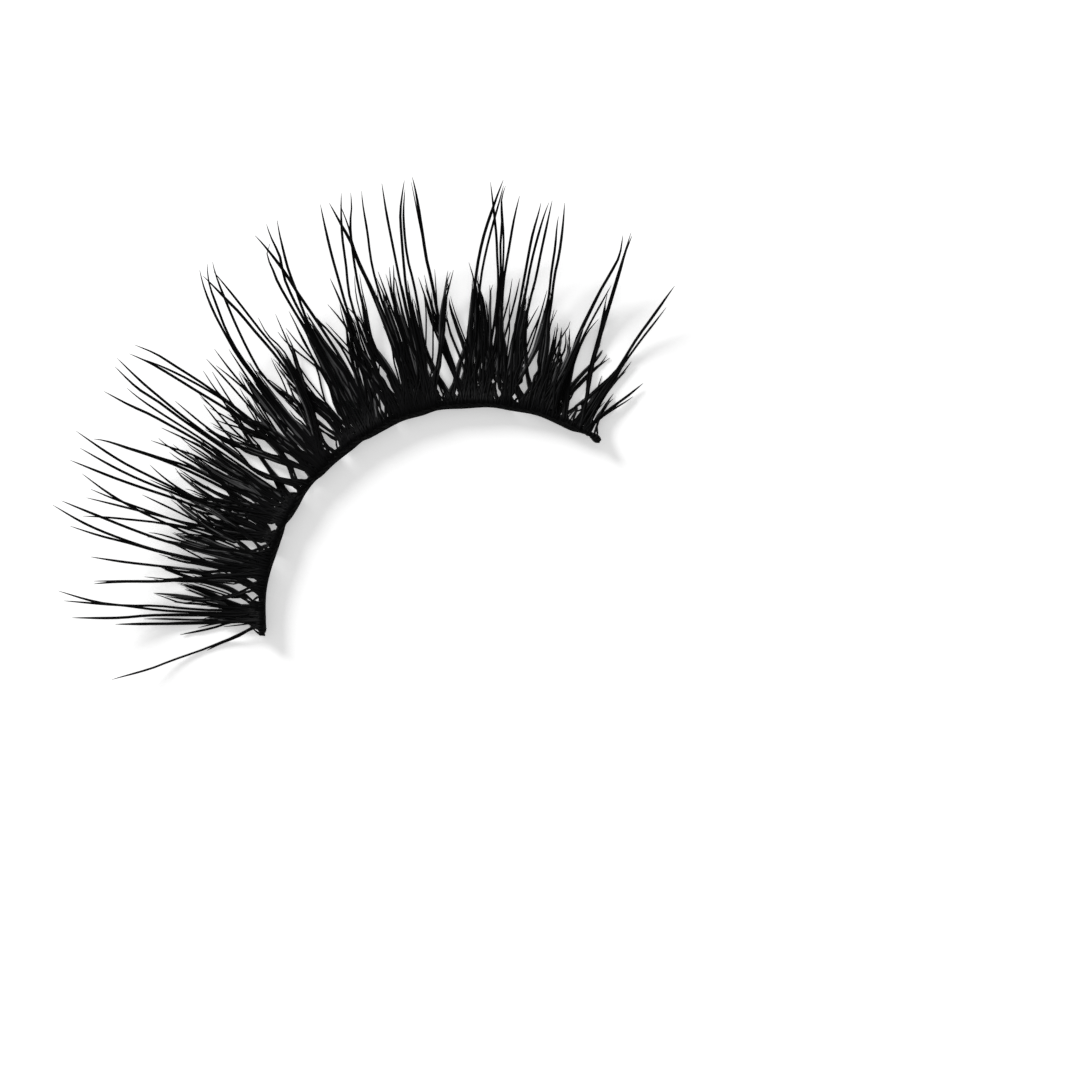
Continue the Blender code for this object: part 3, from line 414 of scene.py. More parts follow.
# Single hairs, each from the station of its root to its tip through (station, reach) points
Lash = namedtuple("Lash", "tuft radius root path")
LASHES = [
    Lash(1, 0.062, 0.75, (
        (0.5, 0.9), (0.06, 1.9), (-0.22, 3), (-0.47, 4), (-0.94, 7), (-1.09, 8), (-1.3, 11))),
    Lash(1, 0.078, 0.6, ((0.42, 0.9), (0.02, 1.8), (-0.3, 3.1), (-0.62, 4.1))),
    Lash(1, 0.04, 0.85, ((0.76, 1.2), (0.68, 2.3), (0.65, 2.8))),
    Lash(1, 0.048, 1.45, ((1.9, 2), (2.36, 3.4), (2.66, 4.7), (2.88, 5.9))),
    Lash(1, 0.048, 1.5, ((1.96, 2), (2.46, 3.4), (2.76, 4.7), (2.95, 5.9))),
    Lash(1, 0.065, 1, ((0.92, 2.2), (0.66, 3.3), (0.52, 4.2), (0.34, 5.9))),
    Lash(1, 0.05, 1.05, ((0.95, 2.5), (0.8, 3.7), (0.66, 4.6))),
    Lash(1, 0.085, 0.95, ((0.92, 2), (0.9, 5), (0.93, 8), (0.95, 10.4))),
    Lash(1, 0.06, 1.02, ((0.99, 2), (0.96, 5), (0.96, 7.2))),
    Lash(1, 0.06, 1.1, ((1.08, 3), (1.09, 5), (1.15, 7), (1.16, 8.4))),
    Lash(1, 0.08, 1.3, ((1.32, 3), (1.33, 5), (1.32, 8), (1.22, 10), (1.23, 13.4))),
    Lash(1, 0.06, 1.4, ((1.38, 3), (1.38, 5), (1.38, 7.4))),
    Lash(1, 0.07, 1.55, ((1.48, 3), (1.5, 5.4), (1.58, 7.5), (1.72, 9.5), (1.83, 11.5), (2.2, 14.4))),
    Lash(1, 0.07, 1.75, ((1.62, 3.4), (1.68, 5.6), (1.77, 7.5), (1.74, 9.3), (1.85, 14))),
    Lash(1, 0.045, 1.7, ((1.82, 3), (1.94, 4), (1.97, 6.3))),
    Lash(2, 0.048, 2, ((2.3, 1.6), (2.62, 3.2), (2.86, 4.6), (2.99, 5.6))),
    Lash(2, 0.048, 2.05, ((2.42, 1.6), (2.78, 3.2), (2.96, 4.2), (3.05, 5))),
    Lash(2, 0.05, 3.9, ((4.1, 3.2), (4.45, 5), (4.75, 6.5), (4.9, 8))),
    Lash(2, 0.085, 4.2, ((3.75, 2.5), (3.3, 4.6), (3.1, 6), (2.92, 7.5), (2.75, 10), (2.55, 12))),
    Lash(2, 0.06, 4, ((3.6, 2.5), (3.2, 5), (2.98, 7), (2.8, 9.6), (2.66, 12))),
    Lash(2, 0.045, 3.2, ((3.25, 4), (3.08, 6.5), (3.06, 8.5))),
    Lash(2, 0.075, 3.3, ((3.45, 2.5), (3.7, 5), (3.64, 7.5), (3.58, 10), (3.58, 12.4))),
    Lash(2, 0.07, 4.1, ((4.25, 4), (4.28, 7.5), (4.4, 10), (4.45, 12), (4.57, 14.2))),
    Lash(2, 0.075, 4.3, ((4.3, 4), (4.34, 8), (4.47, 10), (4.75, 13), (5.15, 15.7))),
    Lash(2, 0.08, 4.8, ((4.78, 4), (4.84, 7.5), (5, 10), (5.15, 12), (5.37, 15.2))),
    Lash(2, 0.065, 5.2, ((5.6, 3.5), (5.68, 6.5), (5.56, 8.5), (5.4, 10), (5.2, 12), (5.03, 13.5))),
    Lash(2, 0.07, 5, ((5.2, 4), (5.62, 7.5), (5.85, 10), (6.1, 12), (6.5, 14.4))),
    Lash(2, 0.065, 5.4, ((5.8, 4), (5.92, 8), (5.96, 10), (6, 12), (6.07, 13.5))),
    Lash(3, 0.065, 6.6, ((6.2, 3), (5.98, 6), (5.9, 8), (5.83, 10), (5.72, 13.6))),
    Lash(3, 0.06, 6.4, ((6.1, 3), (6.2, 5.8), (6.36, 7.6), (6.52, 10))),
    Lash(3, 0.08, 7, ((6.9, 4), (6.86, 8), (6.8, 10), (6.77, 12), (6.8, 15.5))),
    Lash(3, 0.075, 8.2, ((7.6, 3), (7.1, 6), (7.09, 8), (7.07, 10), (7.12, 12), (7.32, 15.2))),
    Lash(3, 0.075, 8.4, ((7.7, 3), (7.25, 6), (7.3, 8), (7.37, 10), (7.45, 12), (7.8, 15.9))),
    Lash(3, 0.06, 7, ((7.15, 5), (7.2, 8), (7.23, 9.9))),
    Lash(3, 0.06, 6.9, ((7.2, 5), (7.4, 8), (7.6, 9.3), (7.8, 10.3))),
    Lash(3, 0.085, 8.1, ((8.3, 4), (8.3, 8), (8.2, 10), (8.05, 12), (7.9, 14), (7.8, 14.6))),
    Lash(3, 0.075, 8.6, ((8.5, 4), (8.46, 8), (8.28, 9.6), (8.12, 11.4), (7.96, 13.4))),
    Lash(3, 0.06, 8.6, ((8.7, 4), (8.78, 8), (8.87, 10), (8.95, 10.6))),
    Lash(3, 0.06, 9.3, ((9.15, 4), (9.05, 8), (8.9, 9.2), (8.72, 11))),
    Lash(3, 0.06, 9.4, ((9.5, 5), (9.54, 8), (9.38, 10.8))),
    Lash(3, 0.08, 9.2, ((9.6, 4), (9.72, 8), (9.65, 10.5), (9.6, 12), (9.5, 13.5), (9.45, 15.5))),
    Lash(3, 0.065, 9.7, ((9.8, 4), (9.88, 8), (9.88, 12), (9.92, 13.5), (9.98, 14.3))),
    Lash(3, 0.06, 9.6, ((10.3, 2.2), (10.6, 5.6), (10.78, 6.9), (10.95, 7.8), (11.2, 9.3))),
    Lash(3, 0.05, 9.9, ((10.5, 2.5), (11, 5), (11.15, 7), (11.3, 8.2), (11.45, 10.2))),
    Lash(3, 0.055, 9.9, ((10.6, 2.8), (10.94, 4.4), (11.25, 5.5), (11.6, 7.2), (11.85, 8.3), (11.96, 9.2))),
    Lash(3, 0.05, 9.8, (
        (10.55, 2.8), (10.92, 4.4), (11.03, 5.6), (11.14, 6.9), (11.33, 8.6), (11.36, 9.8))),
    Lash(4, 0.08, 11, (
        (10.5, 1.6), (10.08, 3.4), (10.08, 6), (10.11, 8), (10.14, 10), (10.2, 12), (10.18, 13.5),
        (10.37, 15.8))),
    Lash(4, 0.075, 11.2, (
        (10.6, 1.6), (10.12, 3.2), (10.16, 5.5), (10.21, 8), (10.27, 10), (10.37, 12), (10.45, 13.5),
        (10.65, 16))),
    Lash(4, 0.06, 12, ((11.4, 2.3), (10.85, 4.6), (10.5, 6.5), (10.46, 8), (10.52, 9.5), (10.6, 11))),
    Lash(4, 0.08, 12.3, (
        (12, 3), (11.8, 6), (11.66, 8), (11.45, 10.5), (11.35, 12), (11.2, 14), (11.02, 15.5))),
    Lash(4, 0.07, 12.6, (
        (12.2, 3), (12, 6), (11.9, 8.5), (11.7, 10.5), (11.5, 12.2), (11.35, 13.3), (11.15, 14.6))),
    Lash(4, 0.075, 12.8, (
        (12.3, 3), (12.06, 6), (11.97, 8.5), (11.85, 10.5), (11.7, 12.5), (11.6, 14), (11.37, 15.6))),
    Lash(4, 0.05, 11.3, ((11.7, 3), (11.92, 6), (12, 9), (12.28, 10.8))),
    Lash(4, 0.05, 11.2, ((11.6, 3), (11.85, 5.8), (12.05, 7.8), (12.27, 9), (12.5, 10.3))),
    Lash(4, 0.055, 12.6, ((12.1, 2.6), (11.72, 4.4), (11.45, 6), (11.1, 7.3), (10.96, 8.1))),
    Lash(4, 0.055, 12.7, ((12.2, 3), (11.76, 5), (11.5, 6.3), (11.38, 7.5), (11.24, 8.8))),
    Lash(4, 0.055, 12.2, ((11.6, 2.6), (11.12, 4.4), (10.88, 5.6), (10.76, 7), (10.66, 7.8))),
    Lash(4, 0.05, 12.1, ((11.5, 2.6), (11.16, 4.8), (11, 5.8), (10.84, 6.9), (10.74, 8.1))),
    Lash(4, 0.055, 10.7, ((11.2, 2.8), (11.36, 5.2), (11.6, 6.3), (11.76, 7.2), (11.86, 8.4))),
    Lash(4, 0.06, 12.2, ((12.3, 4), (12.5, 7), (12.63, 9), (12.72, 11.2))),
    Lash(4, 0.06, 13.2, ((12.9, 4), (12.92, 8), (12.8, 10.4))),
    Lash(4, 0.06, 12.9, ((12.9, 5), (13.05, 9), (13.23, 11.3))),
    Lash(4, 0.06, 13.1, ((13.2, 5), (13.36, 8), (13.5, 9.2), (13.65, 10.6))),
    Lash(4, 0.075, 13.2, (
        (13.42, 5), (13.6, 8), (13.75, 10), (13.95, 11.5), (14.15, 13), (14.5, 15), (14.76, 16.1))),
    Lash(4, 0.075, 13.5, (
        (13.55, 5), (13.7, 8), (13.85, 10), (14.05, 11.5), (14.4, 13.3), (14.76, 15.1), (15.09, 16.1))),
    Lash(4, 0.085, 13.8, (
        (14.45, 2.6), (14.9, 5), (15.02, 8), (14.95, 10.5), (14.92, 12.1), (14.84, 13.4), (14.76, 15),
        (14.72, 15.6))),
    Lash(5, 0.075, 15.2, (
        (14.6, 2.4), (14.1, 5), (14, 8), (14.2, 9.5), (14.46, 11.2), (14.78, 13.2), (15.12, 15.3),
        (15.27, 16))),
    Lash(5, 0.07, 15.8, (
        (15.3, 3.5), (15.1, 6), (15.21, 8.3), (15.16, 9.85), (15.15, 11.5), (15.14, 13), (15.1, 15.4))),
    Lash(5, 0.05, 15.5, ((15.4, 3.5), (15.36, 6.5), (15.43, 8.3), (15.29, 9.6), (15.4, 11))),
    Lash(5, 0.05, 15.9, ((15.7, 2.8), (15.62, 4.4), (15.58, 6), (15.7, 7.6), (15.84, 8.6), (16.06, 10.5))),
    Lash(5, 0.055, 15.4, (
        (15.56, 2.4), (15.66, 3.5), (15.98, 4.6), (16.24, 5.5), (16.42, 6.8), (16.5, 8.3), (16.59, 10))),
    Lash(5, 0.055, 16.9, (
        (16.66, 3), (16.43, 5), (16.28, 6), (16.08, 6.8), (15.9, 7.6), (15.74, 8.7), (15.72, 9.4))),
    Lash(5, 0.055, 16.7, ((16.6, 3), (16.44, 5.6), (16.3, 6.8), (16.16, 8.2), (16.1, 9.3))),
    Lash(5, 0.055, 16, ((16.3, 4), (16.4, 6), (16.43, 7.7), (16.55, 9.15), (16.6, 10.2))),
    Lash(5, 0.08, 16.4, (
        (16.66, 5), (16.78, 8), (16.8, 11.5), (16.82, 12.3), (16.9, 13.2), (17.08, 14.6), (17.28, 14.9))),
    Lash(5, 0.08, 16.7, (
        (16.86, 5), (16.96, 9), (17.02, 10.9), (17.14, 12.5), (17.35, 13.6), (17.43, 15.4), (17.5, 16.2))),
    Lash(5, 0.09, 17.6, (
        (17.66, 4), (17.5, 7.4), (17.4, 9.1), (17.29, 11), (17.25, 12.5), (17.16, 13.9), (17.04, 15.3),
        (16.97, 15.9))),
    Lash(5, 0.065, 17.8, ((17.9, 4), (17.88, 6.2), (17.66, 7.8), (17.4, 9), (17.33, 10.2))),
    Lash(5, 0.08, 16.9, (
        (17, 5), (17.04, 8.6), (17.14, 9.85), (17.29, 11.2), (17.41, 12.7), (17.6, 14.15), (17.74, 15.2),
        (17.88, 16.1))),
    Lash(5, 0.06, 17.1, ((17.2, 5), (17.24, 8), (17.22, 9.4))),
    Lash(5, 0.07, 17.9, ((18.4, 4), (18.66, 7), (18.75, 9.2), (18.74, 10.9))),
    Lash(5, 0.08, 17.8, (
        (18.5, 4), (18.8, 7), (18.92, 9), (19.02, 10.3), (19.15, 12.3), (19.34, 14.7), (19.44, 15.9))),
    Lash(6, 0.055, 18.8, ((18.4, 4), (18.02, 5.9), (17.8, 7), (17.6, 8.1), (17.5, 8.8))),
    Lash(6, 0.045, 18.9, ((18.6, 4), (18.2, 6), (17.95, 7.2), (17.76, 8.2))),
    Lash(6, 0.06, 19.4, ((18.8, 4), (18.6, 6.6), (18.42, 8), (18.19, 9.3))),
    Lash(6, 0.075, 19.5, (
        (19.1, 4), (19.1, 7), (19.22, 9.3), (19.52, 11.2), (19.78, 13.3), (20.02, 14.85), (20.24, 16.15))),
    Lash(6, 0.095, 20.3, (
        (20.36, 4), (20.28, 7), (20.14, 9.85), (20.02, 11.5), (20.03, 12.5), (19.88, 14.15),
        (19.74, 15.8))),
    Lash(6, 0.06, 20.5, ((20.45, 5), (20.3, 8.6), (20.1, 11), (20.06, 12.7), (20.11, 13.6), (20.08, 15.4))),
    Lash(6, 0.075, 20, (
        (19.6, 3.6), (19.46, 5.6), (19.6, 8), (19.75, 10), (19.96, 12), (20.22, 14), (20.43, 15),
        (20.55, 16))),
    Lash(6, 0.04, 19.8, ((19.4, 4.5), (19.34, 7), (19.46, 8.85), (19.7, 10.4))),
    Lash(6, 0.04, 19.2, ((19.5, 6), (19.72, 8), (19.82, 9.4), (19.93, 10.4))),
    Lash(6, 0.07, 20.7, (
        (20.6, 5), (20.49, 8.85), (20.55, 11), (20.72, 13), (20.85, 15.15), (20.92, 15.9))),
    Lash(6, 0.06, 20.9, ((20.84, 5), (20.7, 8), (20.56, 9.8))),
    Lash(6, 0.06, 21.1, ((21, 5), (20.8, 8), (20.7, 10.2))),
    Lash(6, 0.06, 21, ((21, 5), (21.02, 8.3), (21.21, 10.3))),
    Lash(6, 0.06, 21.2, ((21.1, 5), (21.1, 8.3), (21.3, 9.6), (21.39, 10.4))),
    Lash(6, 0.075, 21.4, ((21.46, 5), (21.5, 8.85), (21.54, 11.5), (21.58, 14), (21.65, 16.1))),
    Lash(6, 0.08, 21.7, (
        (21.66, 5), (21.7, 8.4), (21.8, 10), (21.94, 12), (22.08, 13.85), (22.23, 14.85), (22.42, 16))),
    Lash(6, 0.045, 21.6, ((21.9, 3), (22.14, 4.6), (22.3, 5.7), (22.42, 6.8), (22.45, 8.2))),
    Lash(6, 0.05, 21.4, ((22, 2), (22.3, 3.1), (22.48, 4.2), (22.62, 5.4), (22.74, 6.6), (22.8, 8))),
    Lash(6, 0.04, 22, ((22.8, 4), (23, 7.5), (23.08, 9.6))),
    Lash(6, 0.06, 21.9, ((22.8, 4), (23.24, 7), (23.42, 8), (23.64, 9.4))),
    Lash(6, 0.06, 21.8, ((22.8, 4), (23.34, 7), (23.62, 8.2), (23.88, 9.4))),
    Lash(7, 0.075, 23.2, (
        (22.5, 2), (22.06, 4.4), (22.08, 7), (22.08, 8.8), (22.02, 10.5), (22.1, 12.6), (22.2, 13.9),
        (22.39, 15.4))),
    Lash(7, 0.095, 23.9, (
        (23.4, 2.8), (23.06, 5), (22.94, 7), (22.88, 8.85), (22.8, 10), (22.77, 12.5), (22.74, 15.3),
        (22.7, 16.15))),
    Lash(7, 0.045, 23.8, ((23.3, 2.8), (23, 5), (22.88, 8), (22.74, 12), (22.64, 15.8))),
    Lash(7, 0.06, 24, ((23.4, 3), (22.7, 6), (22.46, 8), (22.33, 9.2))),
    Lash(7, 0.05, 24.1, ((23.5, 3), (22.9, 6), (22.66, 8), (22.6, 9.3))),
    Lash(7, 0.04, 24.9, ((24.4, 4), (24.18, 4.8), (23.9, 6), (23.74, 6.9), (23.66, 7.6))),
    Lash(7, 0.06, 24.6, ((24.6, 5), (24.76, 8.6), (24.64, 9.4), (24.55, 9.9))),
    Lash(7, 0.09, 24.4, (
        (24.6, 5), (24.85, 8.85), (24.95, 10), (25.17, 11.8), (25.46, 13.6), (25.67, 14.9), (25.8, 15.7))),
    Lash(7, 0.07, 24.8, (
        (24.9, 5), (25.08, 8.85), (25.26, 10.6), (25.52, 12.7), (25.7, 14.15), (25.82, 15.3))),
    Lash(7, 0.075, 25.2, (
        (25.7, 4.5), (25.86, 8.6), (25.76, 10), (25.66, 11.8), (25.51, 13.6), (25.36, 15.5))),
    Lash(7, 0.07, 25.4, (
        (25.9, 4.5), (25.94, 9.15), (25.84, 11.2), (25.85, 12.6), (25.78, 14.4), (25.89, 15.3))),
    Lash(7, 0.06, 25.5, ((26, 4.5), (26.02, 9.15), (25.96, 11.5), (25.84, 13.4), (25.78, 14.6))),
    Lash(7, 0.075, 25.6, ((26.1, 4.5), (26.1, 8.85), (26.2, 11), (26.29, 13), (26.41, 14.7))),
    Lash(7, 0.05, 25.6, ((26.1, 4.5), (26.26, 6.2), (26.4, 7.3), (26.46, 8.9))),
    Lash(7, 0.06, 25.8, ((26.2, 3.5), (26.46, 5.3), (26.66, 7), (26.75, 8.2), (26.79, 9))),
    Lash(8, 0.045, 26.9, ((26.6, 4), (26.62, 5), (26.5, 6.4), (26.48, 7.2))),
    Lash(8, 0.08, 27.2, ((26.9, 4), (26.96, 8), (27.01, 10), (27.06, 12), (27.18, 13.85), (27.2, 14.4))),
    Lash(8, 0.075, 27.6, ((27.1, 4), (27.14, 8), (27.18, 10), (27.28, 12), (27.41, 13.85), (27.48, 14.5))),
    Lash(8, 0.075, 28.1, ((27.4, 4), (27.4, 7.6), (27.48, 9), (27.51, 11), (27.55, 13), (27.58, 14.7))),
    Lash(8, 0.075, 28.5, ((28.4, 4), (28.22, 8), (28.09, 9.85), (28.03, 11.5), (27.93, 13), (27.91, 13.7))),
    Lash(8, 0.08, 28.8, ((28.6, 4), (28.4, 7.6), (28.26, 9.6), (28.25, 11), (28.15, 13), (28.03, 14.7))),
    Lash(8, 0.05, 27.1, ((27.3, 4), (27.46, 5.5), (27.7, 6.6), (27.86, 7.3))),
    Lash(8, 0.05, 27, ((27.5, 3), (27.76, 5.1), (27.96, 6.3), (28.05, 7.4))),
    Lash(8, 0.05, 26.9, ((27.5, 2.6), (27.78, 3.8), (27.92, 5), (28, 6.4), (28.08, 8.5))),
    Lash(8, 0.045, 28.9, ((28.8, 4), (28.62, 6), (28.6, 7.3))),
    Lash(8, 0.04, 28.8, ((28.7, 4), (28.62, 6.2), (28.74, 7.3))),
    Lash(8, 0.055, 29, ((28.98, 4), (28.94, 5.2), (28.88, 6.1))),
    Lash(8, 0.055, 29.1, ((29.02, 4), (29.02, 5.2), (29.03, 6.1))),
    Lash(8, 0.06, 29.5, ((29.46, 4), (29.3, 5.2), (29.18, 6.2))),
    Lash(8, 0.05, 29, ((29.2, 4.2), (29.32, 5.6), (29.49, 6.3), (29.49, 6.8))),
    Lash(8, 0.06, 30.3, ((30.1, 3.6), (29.88, 5), (29.7, 5.7), (29.58, 6.3))),
    Lash(9, 0.085, 31.1, (
        (30.4, 2.6), (30.08, 5.5), (30.2, 7.7), (30.32, 9.4), (30.47, 11), (30.54, 12.2), (30.38, 13.7))),
    Lash(9, 0.06, 31, ((30.3, 2.6), (30.14, 5.5), (30.26, 7.9), (30.4, 10.2), (30.56, 12.1))),
    Lash(9, 0.06, 31.2, ((30.5, 2.6), (30.32, 5.2), (30.46, 7.4), (30.58, 8.8), (30.68, 10.15))),
    Lash(9, 0.05, 31.3, ((30.6, 2.6), (30.4, 4.6), (30.46, 6.4), (30.72, 7.6))),
    Lash(9, 0.055, 32.2, ((31.6, 3), (31.2, 5), (30.98, 7), (30.8, 8.3), (30.66, 9.5))),
    Lash(9, 0.09, 32.4, (
        (31.86, 2.4), (31.3, 5), (31.04, 7.7), (30.91, 9.4), (30.79, 11.2), (30.7, 12.6), (30.7, 13.9))),
    Lash(9, 0.06, 32.3, (
        (31.8, 2.4), (31.24, 5), (30.98, 7.7), (30.84, 9.6), (30.72, 11.8), (30.62, 14.1))),
    Lash(9, 0.045, 30.4, ((30.9, 3), (31.38, 4.8), (31.47, 5.7))),
    Lash(9, 0.055, 30.5, ((31, 2.6), (31.5, 4.2), (31.74, 4.8), (31.82, 5.6))),
    Lash(9, 0.045, 32.6, ((32.36, 2.4), (32.18, 3.4), (32.09, 4.1))),
    Lash(9, 0.085, 32.4, (
        (32.5, 3), (32.66, 4.8), (32.74, 7.7), (32.85, 9.4), (32.95, 11.5), (32.98, 12.1))),
    Lash(9, 0.065, 32.7, ((32.7, 3), (32.78, 5), (32.94, 7.7), (33.06, 9.2), (33.14, 10.5))),
    Lash(9, 0.06, 32.8, ((32.74, 3), (32.9, 4.2), (33, 5), (33.08, 6))),
    Lash(9, 0.06, 32.9, ((32.8, 3), (32.94, 4.4), (33.1, 5.2))),
    Lash(9, 0.045, 32.6, ((32.82, 1.8), (32.98, 2.6))),
    Lash(9, 0.075, 32.8, ((33.14, 1.35), (33.56, 2.7), (33.86, 3.65), (34.06, 4.5), (34.2, 5.2))),
    Lash(9, 0.065, 32.9, ((33.22, 1.4), (33.6, 2.6), (33.8, 3.3))),
    Lash(9, 0.055, 33, ((33.3, 1.5), (33.74, 2.7), (34.03, 3.5), (34.17, 4))),
]

# Diamonds of daylight between crossing hairs, each narrow at its bottom and top reach and
# widest in between
Opening = namedtuple("Opening", "station half_width bottom widest top")
OPENINGS = [
    Opening(2.24, 0.2, 0.95, 1.6, 2.4),
    Opening(2.66, 0.3, 0.4, 0.75, 1.25),
    Opening(3.12, 0.19, 1.2, 1.8, 2.6),
    Opening(3.67, 0.13, 0.45, 0.85, 1.3),
    Opening(5.62, 0.12, 2.3, 2.6, 3.05),
    Opening(5.85, 0.28, 1, 1.5, 2.25),
    Opening(6.28, 0.1, 0.45, 0.7, 1),
    Opening(7.5, 0.32, 0.25, 0.58, 1),
    Opening(10.32, 0.26, 0.36, 0.75, 1.1),
    Opening(10.42, 0.28, 2.65, 3.9, 5.3),
    Opening(10.95, 0.35, 1.15, 2, 3.3),
    Opening(11.44, 0.22, 2.8, 3.9, 4.9),
    Opening(11.46, 0.36, 0.28, 0.82, 1.6),
    Opening(14.42, 0.31, 0.3, 0.8, 1.55),
    Opening(19.36, 0.16, 2.75, 3.3, 4.05),
    Opening(22.52, 0.12, 0.5, 0.8, 1.1),
    Opening(23, 0.38, 1.15, 2, 3.6),
    Opening(23.57, 0.14, 0.4, 0.75, 1.15),
    Opening(25.93, 0.1, 1.3, 1.55, 1.85),
    Opening(26.42, 0.18, 0.4, 0.75, 1.1),
    Opening(27.48, 0.2, 0.35, 0.65, 1),
    Opening(27.92, 0.27, 0.95, 1.5, 2.1),
    Opening(28.26, 0.27, 1.85, 2.9, 4),
    Opening(31.47, 0.36, 1.45, 2.2, 3.3),
    Opening(31.77, 0.16, 1.05, 1.4, 1.75),
]


class LashHairSettings(bpy.types.PropertyGroup):
    """Sizes and colour of the hairs."""

    fine_radius: FloatProperty(
        name="Short hair radius", description="Radius of a short hair at its root",
        default=0.068 * MM, min=0.01 * MM, unit="LENGTH", precision=6)
    tip_radius: FloatProperty(
        name="Tip radius", description="Radius at the very tip of every hair",
        default=0.012 * MM, min=0.002 * MM, unit="LENGTH", precision=6)
    thickness: FloatProperty(
        name="Long lash thickness", description="Multiplies the radius of every long lash",
        default=1.22, min=0.2, max=2.0)
    spread: FloatProperty(
        name="Height spread", description="How far hairs of one tuft lie above or below each other",
        default=0.10 * MM, min=0.0, unit="LENGTH", precision=6)
    density: FloatProperty(
        name="Density", description="Multiplies the number of short hairs in every ribbon",
        default=1.10, min=0.1, max=3.0)
    crossing: FloatProperty(
        name="Crossing", description="How far a short hair may wander across its ribbon",
        default=0.55, min=0.0, max=1.0)
    # Painted sheen: a share of the short hairs gets a paler grey colour that stands for hairs catching the
    # light
    sheen_share: FloatProperty(
        name="Painted sheen hairs", description="Share of the short hairs that are paler and duller",
        default=0.46, min=0.0, max=1.0)
    # Colour of the painted sheen hairs: a paler grey in place of the black fibre
    sheen_colour: FloatVectorProperty(
        name="Painted sheen colour", description="Colour of the paler hairs", subtype="COLOR", size=4,
        default=(0.0210, 0.0210, 0.0215, 1.0), min=0.0, max=1.0)
    seed: IntProperty(
        name="Seed", description="Changes where each short hair ends", default=7, min=0)
    colour: FloatVectorProperty(
        name="Hair colour", description="Colour of the black fibre", subtype="COLOR", size=4,
        default=(0.0014, 0.0014, 0.0015, 1.0), min=0.0, max=1.0)


class LashBandSettings(bpy.types.PropertyGroup):
    """Sizes and colour of the cotton band."""

    thread_radius: FloatProperty(
        name="Thread radius", description="Radius of one thread of the band",
        default=0.060 * MM, min=0.01 * MM, unit="LENGTH", precision=6)
    thread_count: IntProperty(
        name="Threads across", description="How many threads lie side by side on each face",
        default=6, min=2, max=12)
    colour: FloatVectorProperty(
        name="Cotton colour", description="Colour of the black cotton", subtype="COLOR", size=4,
        default=(0.0022, 0.0022, 0.0023, 1.0), min=0.0, max=1.0)


class LashStageSettings(bpy.types.PropertyGroup):
    """Floor and light of the studio."""

    floor_size: FloatProperty(
        name="Floor size", description="Length of one side of the floor",
        default=4.0, min=0.1, unit="LENGTH")
    floor_colour: FloatVectorProperty(
        name="Floor colour", description="Colour of the pale floor", subtype="COLOR", size=4,
        default=(0.90, 0.90, 0.90, 1.0), min=0.0, max=1.0)
    floor_glow: FloatProperty(
        name="Floor glow", description="How brightly the paper floor is lit from below",
        default=0.34, min=0.0)
    key_strength: FloatProperty(
        name="Key light", description="Power of the large soft light", default=56.0, min=0.0,
        unit="POWER")
    fill_strength: FloatProperty(
        name="Fill light", description="Brightness of the light from all round", default=0.46, min=0.0)


def flat_place(station, reach, height):
    """Turn a station, a reach and a height in millimetres into a point in the strip's frame."""
    glue_face = next(mount for mount in frame["record"]["mounts"] if mount["name"] == "glue_face")
    middle = Vector(glue_face["pos_m"]) - Vector((0.0, BAND_RADIUS, BAND_UNDERSIDE)) * MM
    swing = (BAND_LENGTH / 2 - station) / BAND_RADIUS
    out = BAND_RADIUS + reach
    return middle + Vector((-out * math.sin(swing), out * math.cos(swing), height)) * MM


def lash_height(reach, layer):
    """Height of a lash's middle at a reach: down to the belly, then up in a curl."""
    if reach < BELLY_REACH:
        rise = ROOT_HEIGHT - BELLY_HEIGHT
        share = (BELLY_REACH - reach) / (BELLY_REACH - ROLL_REACH)
    else:
        rise = TIP_HEIGHT - BELLY_HEIGHT
        share = (reach - BELLY_REACH) / (LONGEST_REACH - BELLY_REACH)
    return BELLY_HEIGHT + rise * share ** 2 + layer * LAYER_STEP


def read_curve(rows, at):
    """Read a smooth curve at a place, from rows of (place, value) in rising order."""
    last = len(rows) - 1
    if at <= rows[0][0]:
        return rows[0][1]
    if at >= rows[last][0]:
        slope = (rows[last][1] - rows[last - 1][1]) / (rows[last][0] - rows[last - 1][0])
        return rows[last][1] + slope * (at - rows[last][0])
    index = next(i for i in range(last) if rows[i + 1][0] >= at)
    slopes = [(rows[i + 1][1] - rows[i][1]) / (rows[i + 1][0] - rows[i][0]) for i in range(last)]
    start = slopes[0] if index == 0 else (slopes[index - 1] + slopes[index]) / 2
    end = slopes[last - 1] if index == last - 1 else (slopes[index] + slopes[index + 1]) / 2
    width = rows[index + 1][0] - rows[index][0]
    t = (at - rows[index][0]) / width
    value = (2 * t ** 3 - 3 * t ** 2 + 1) * rows[index][1]
    value += (t ** 3 - 2 * t ** 2 + t) * width * start
    value += (3 * t ** 2 - 2 * t ** 3) * rows[index + 1][1]
    value += (t ** 3 - t ** 2) * width * end
    return value


def deselect_all():
    """Leave nothing selected, in object mode."""
    if bpy.context.object and bpy.context.object.mode != "OBJECT":
        bpy.ops.object.mode_set(mode="OBJECT")
    bpy.ops.object.select_all(action="DESELECT")


def select_only(piece):
    """Make one object the only one selected and the active one."""
    deselect_all()
    piece.select_set(True)
    bpy.context.view_layer.objects.active = piece


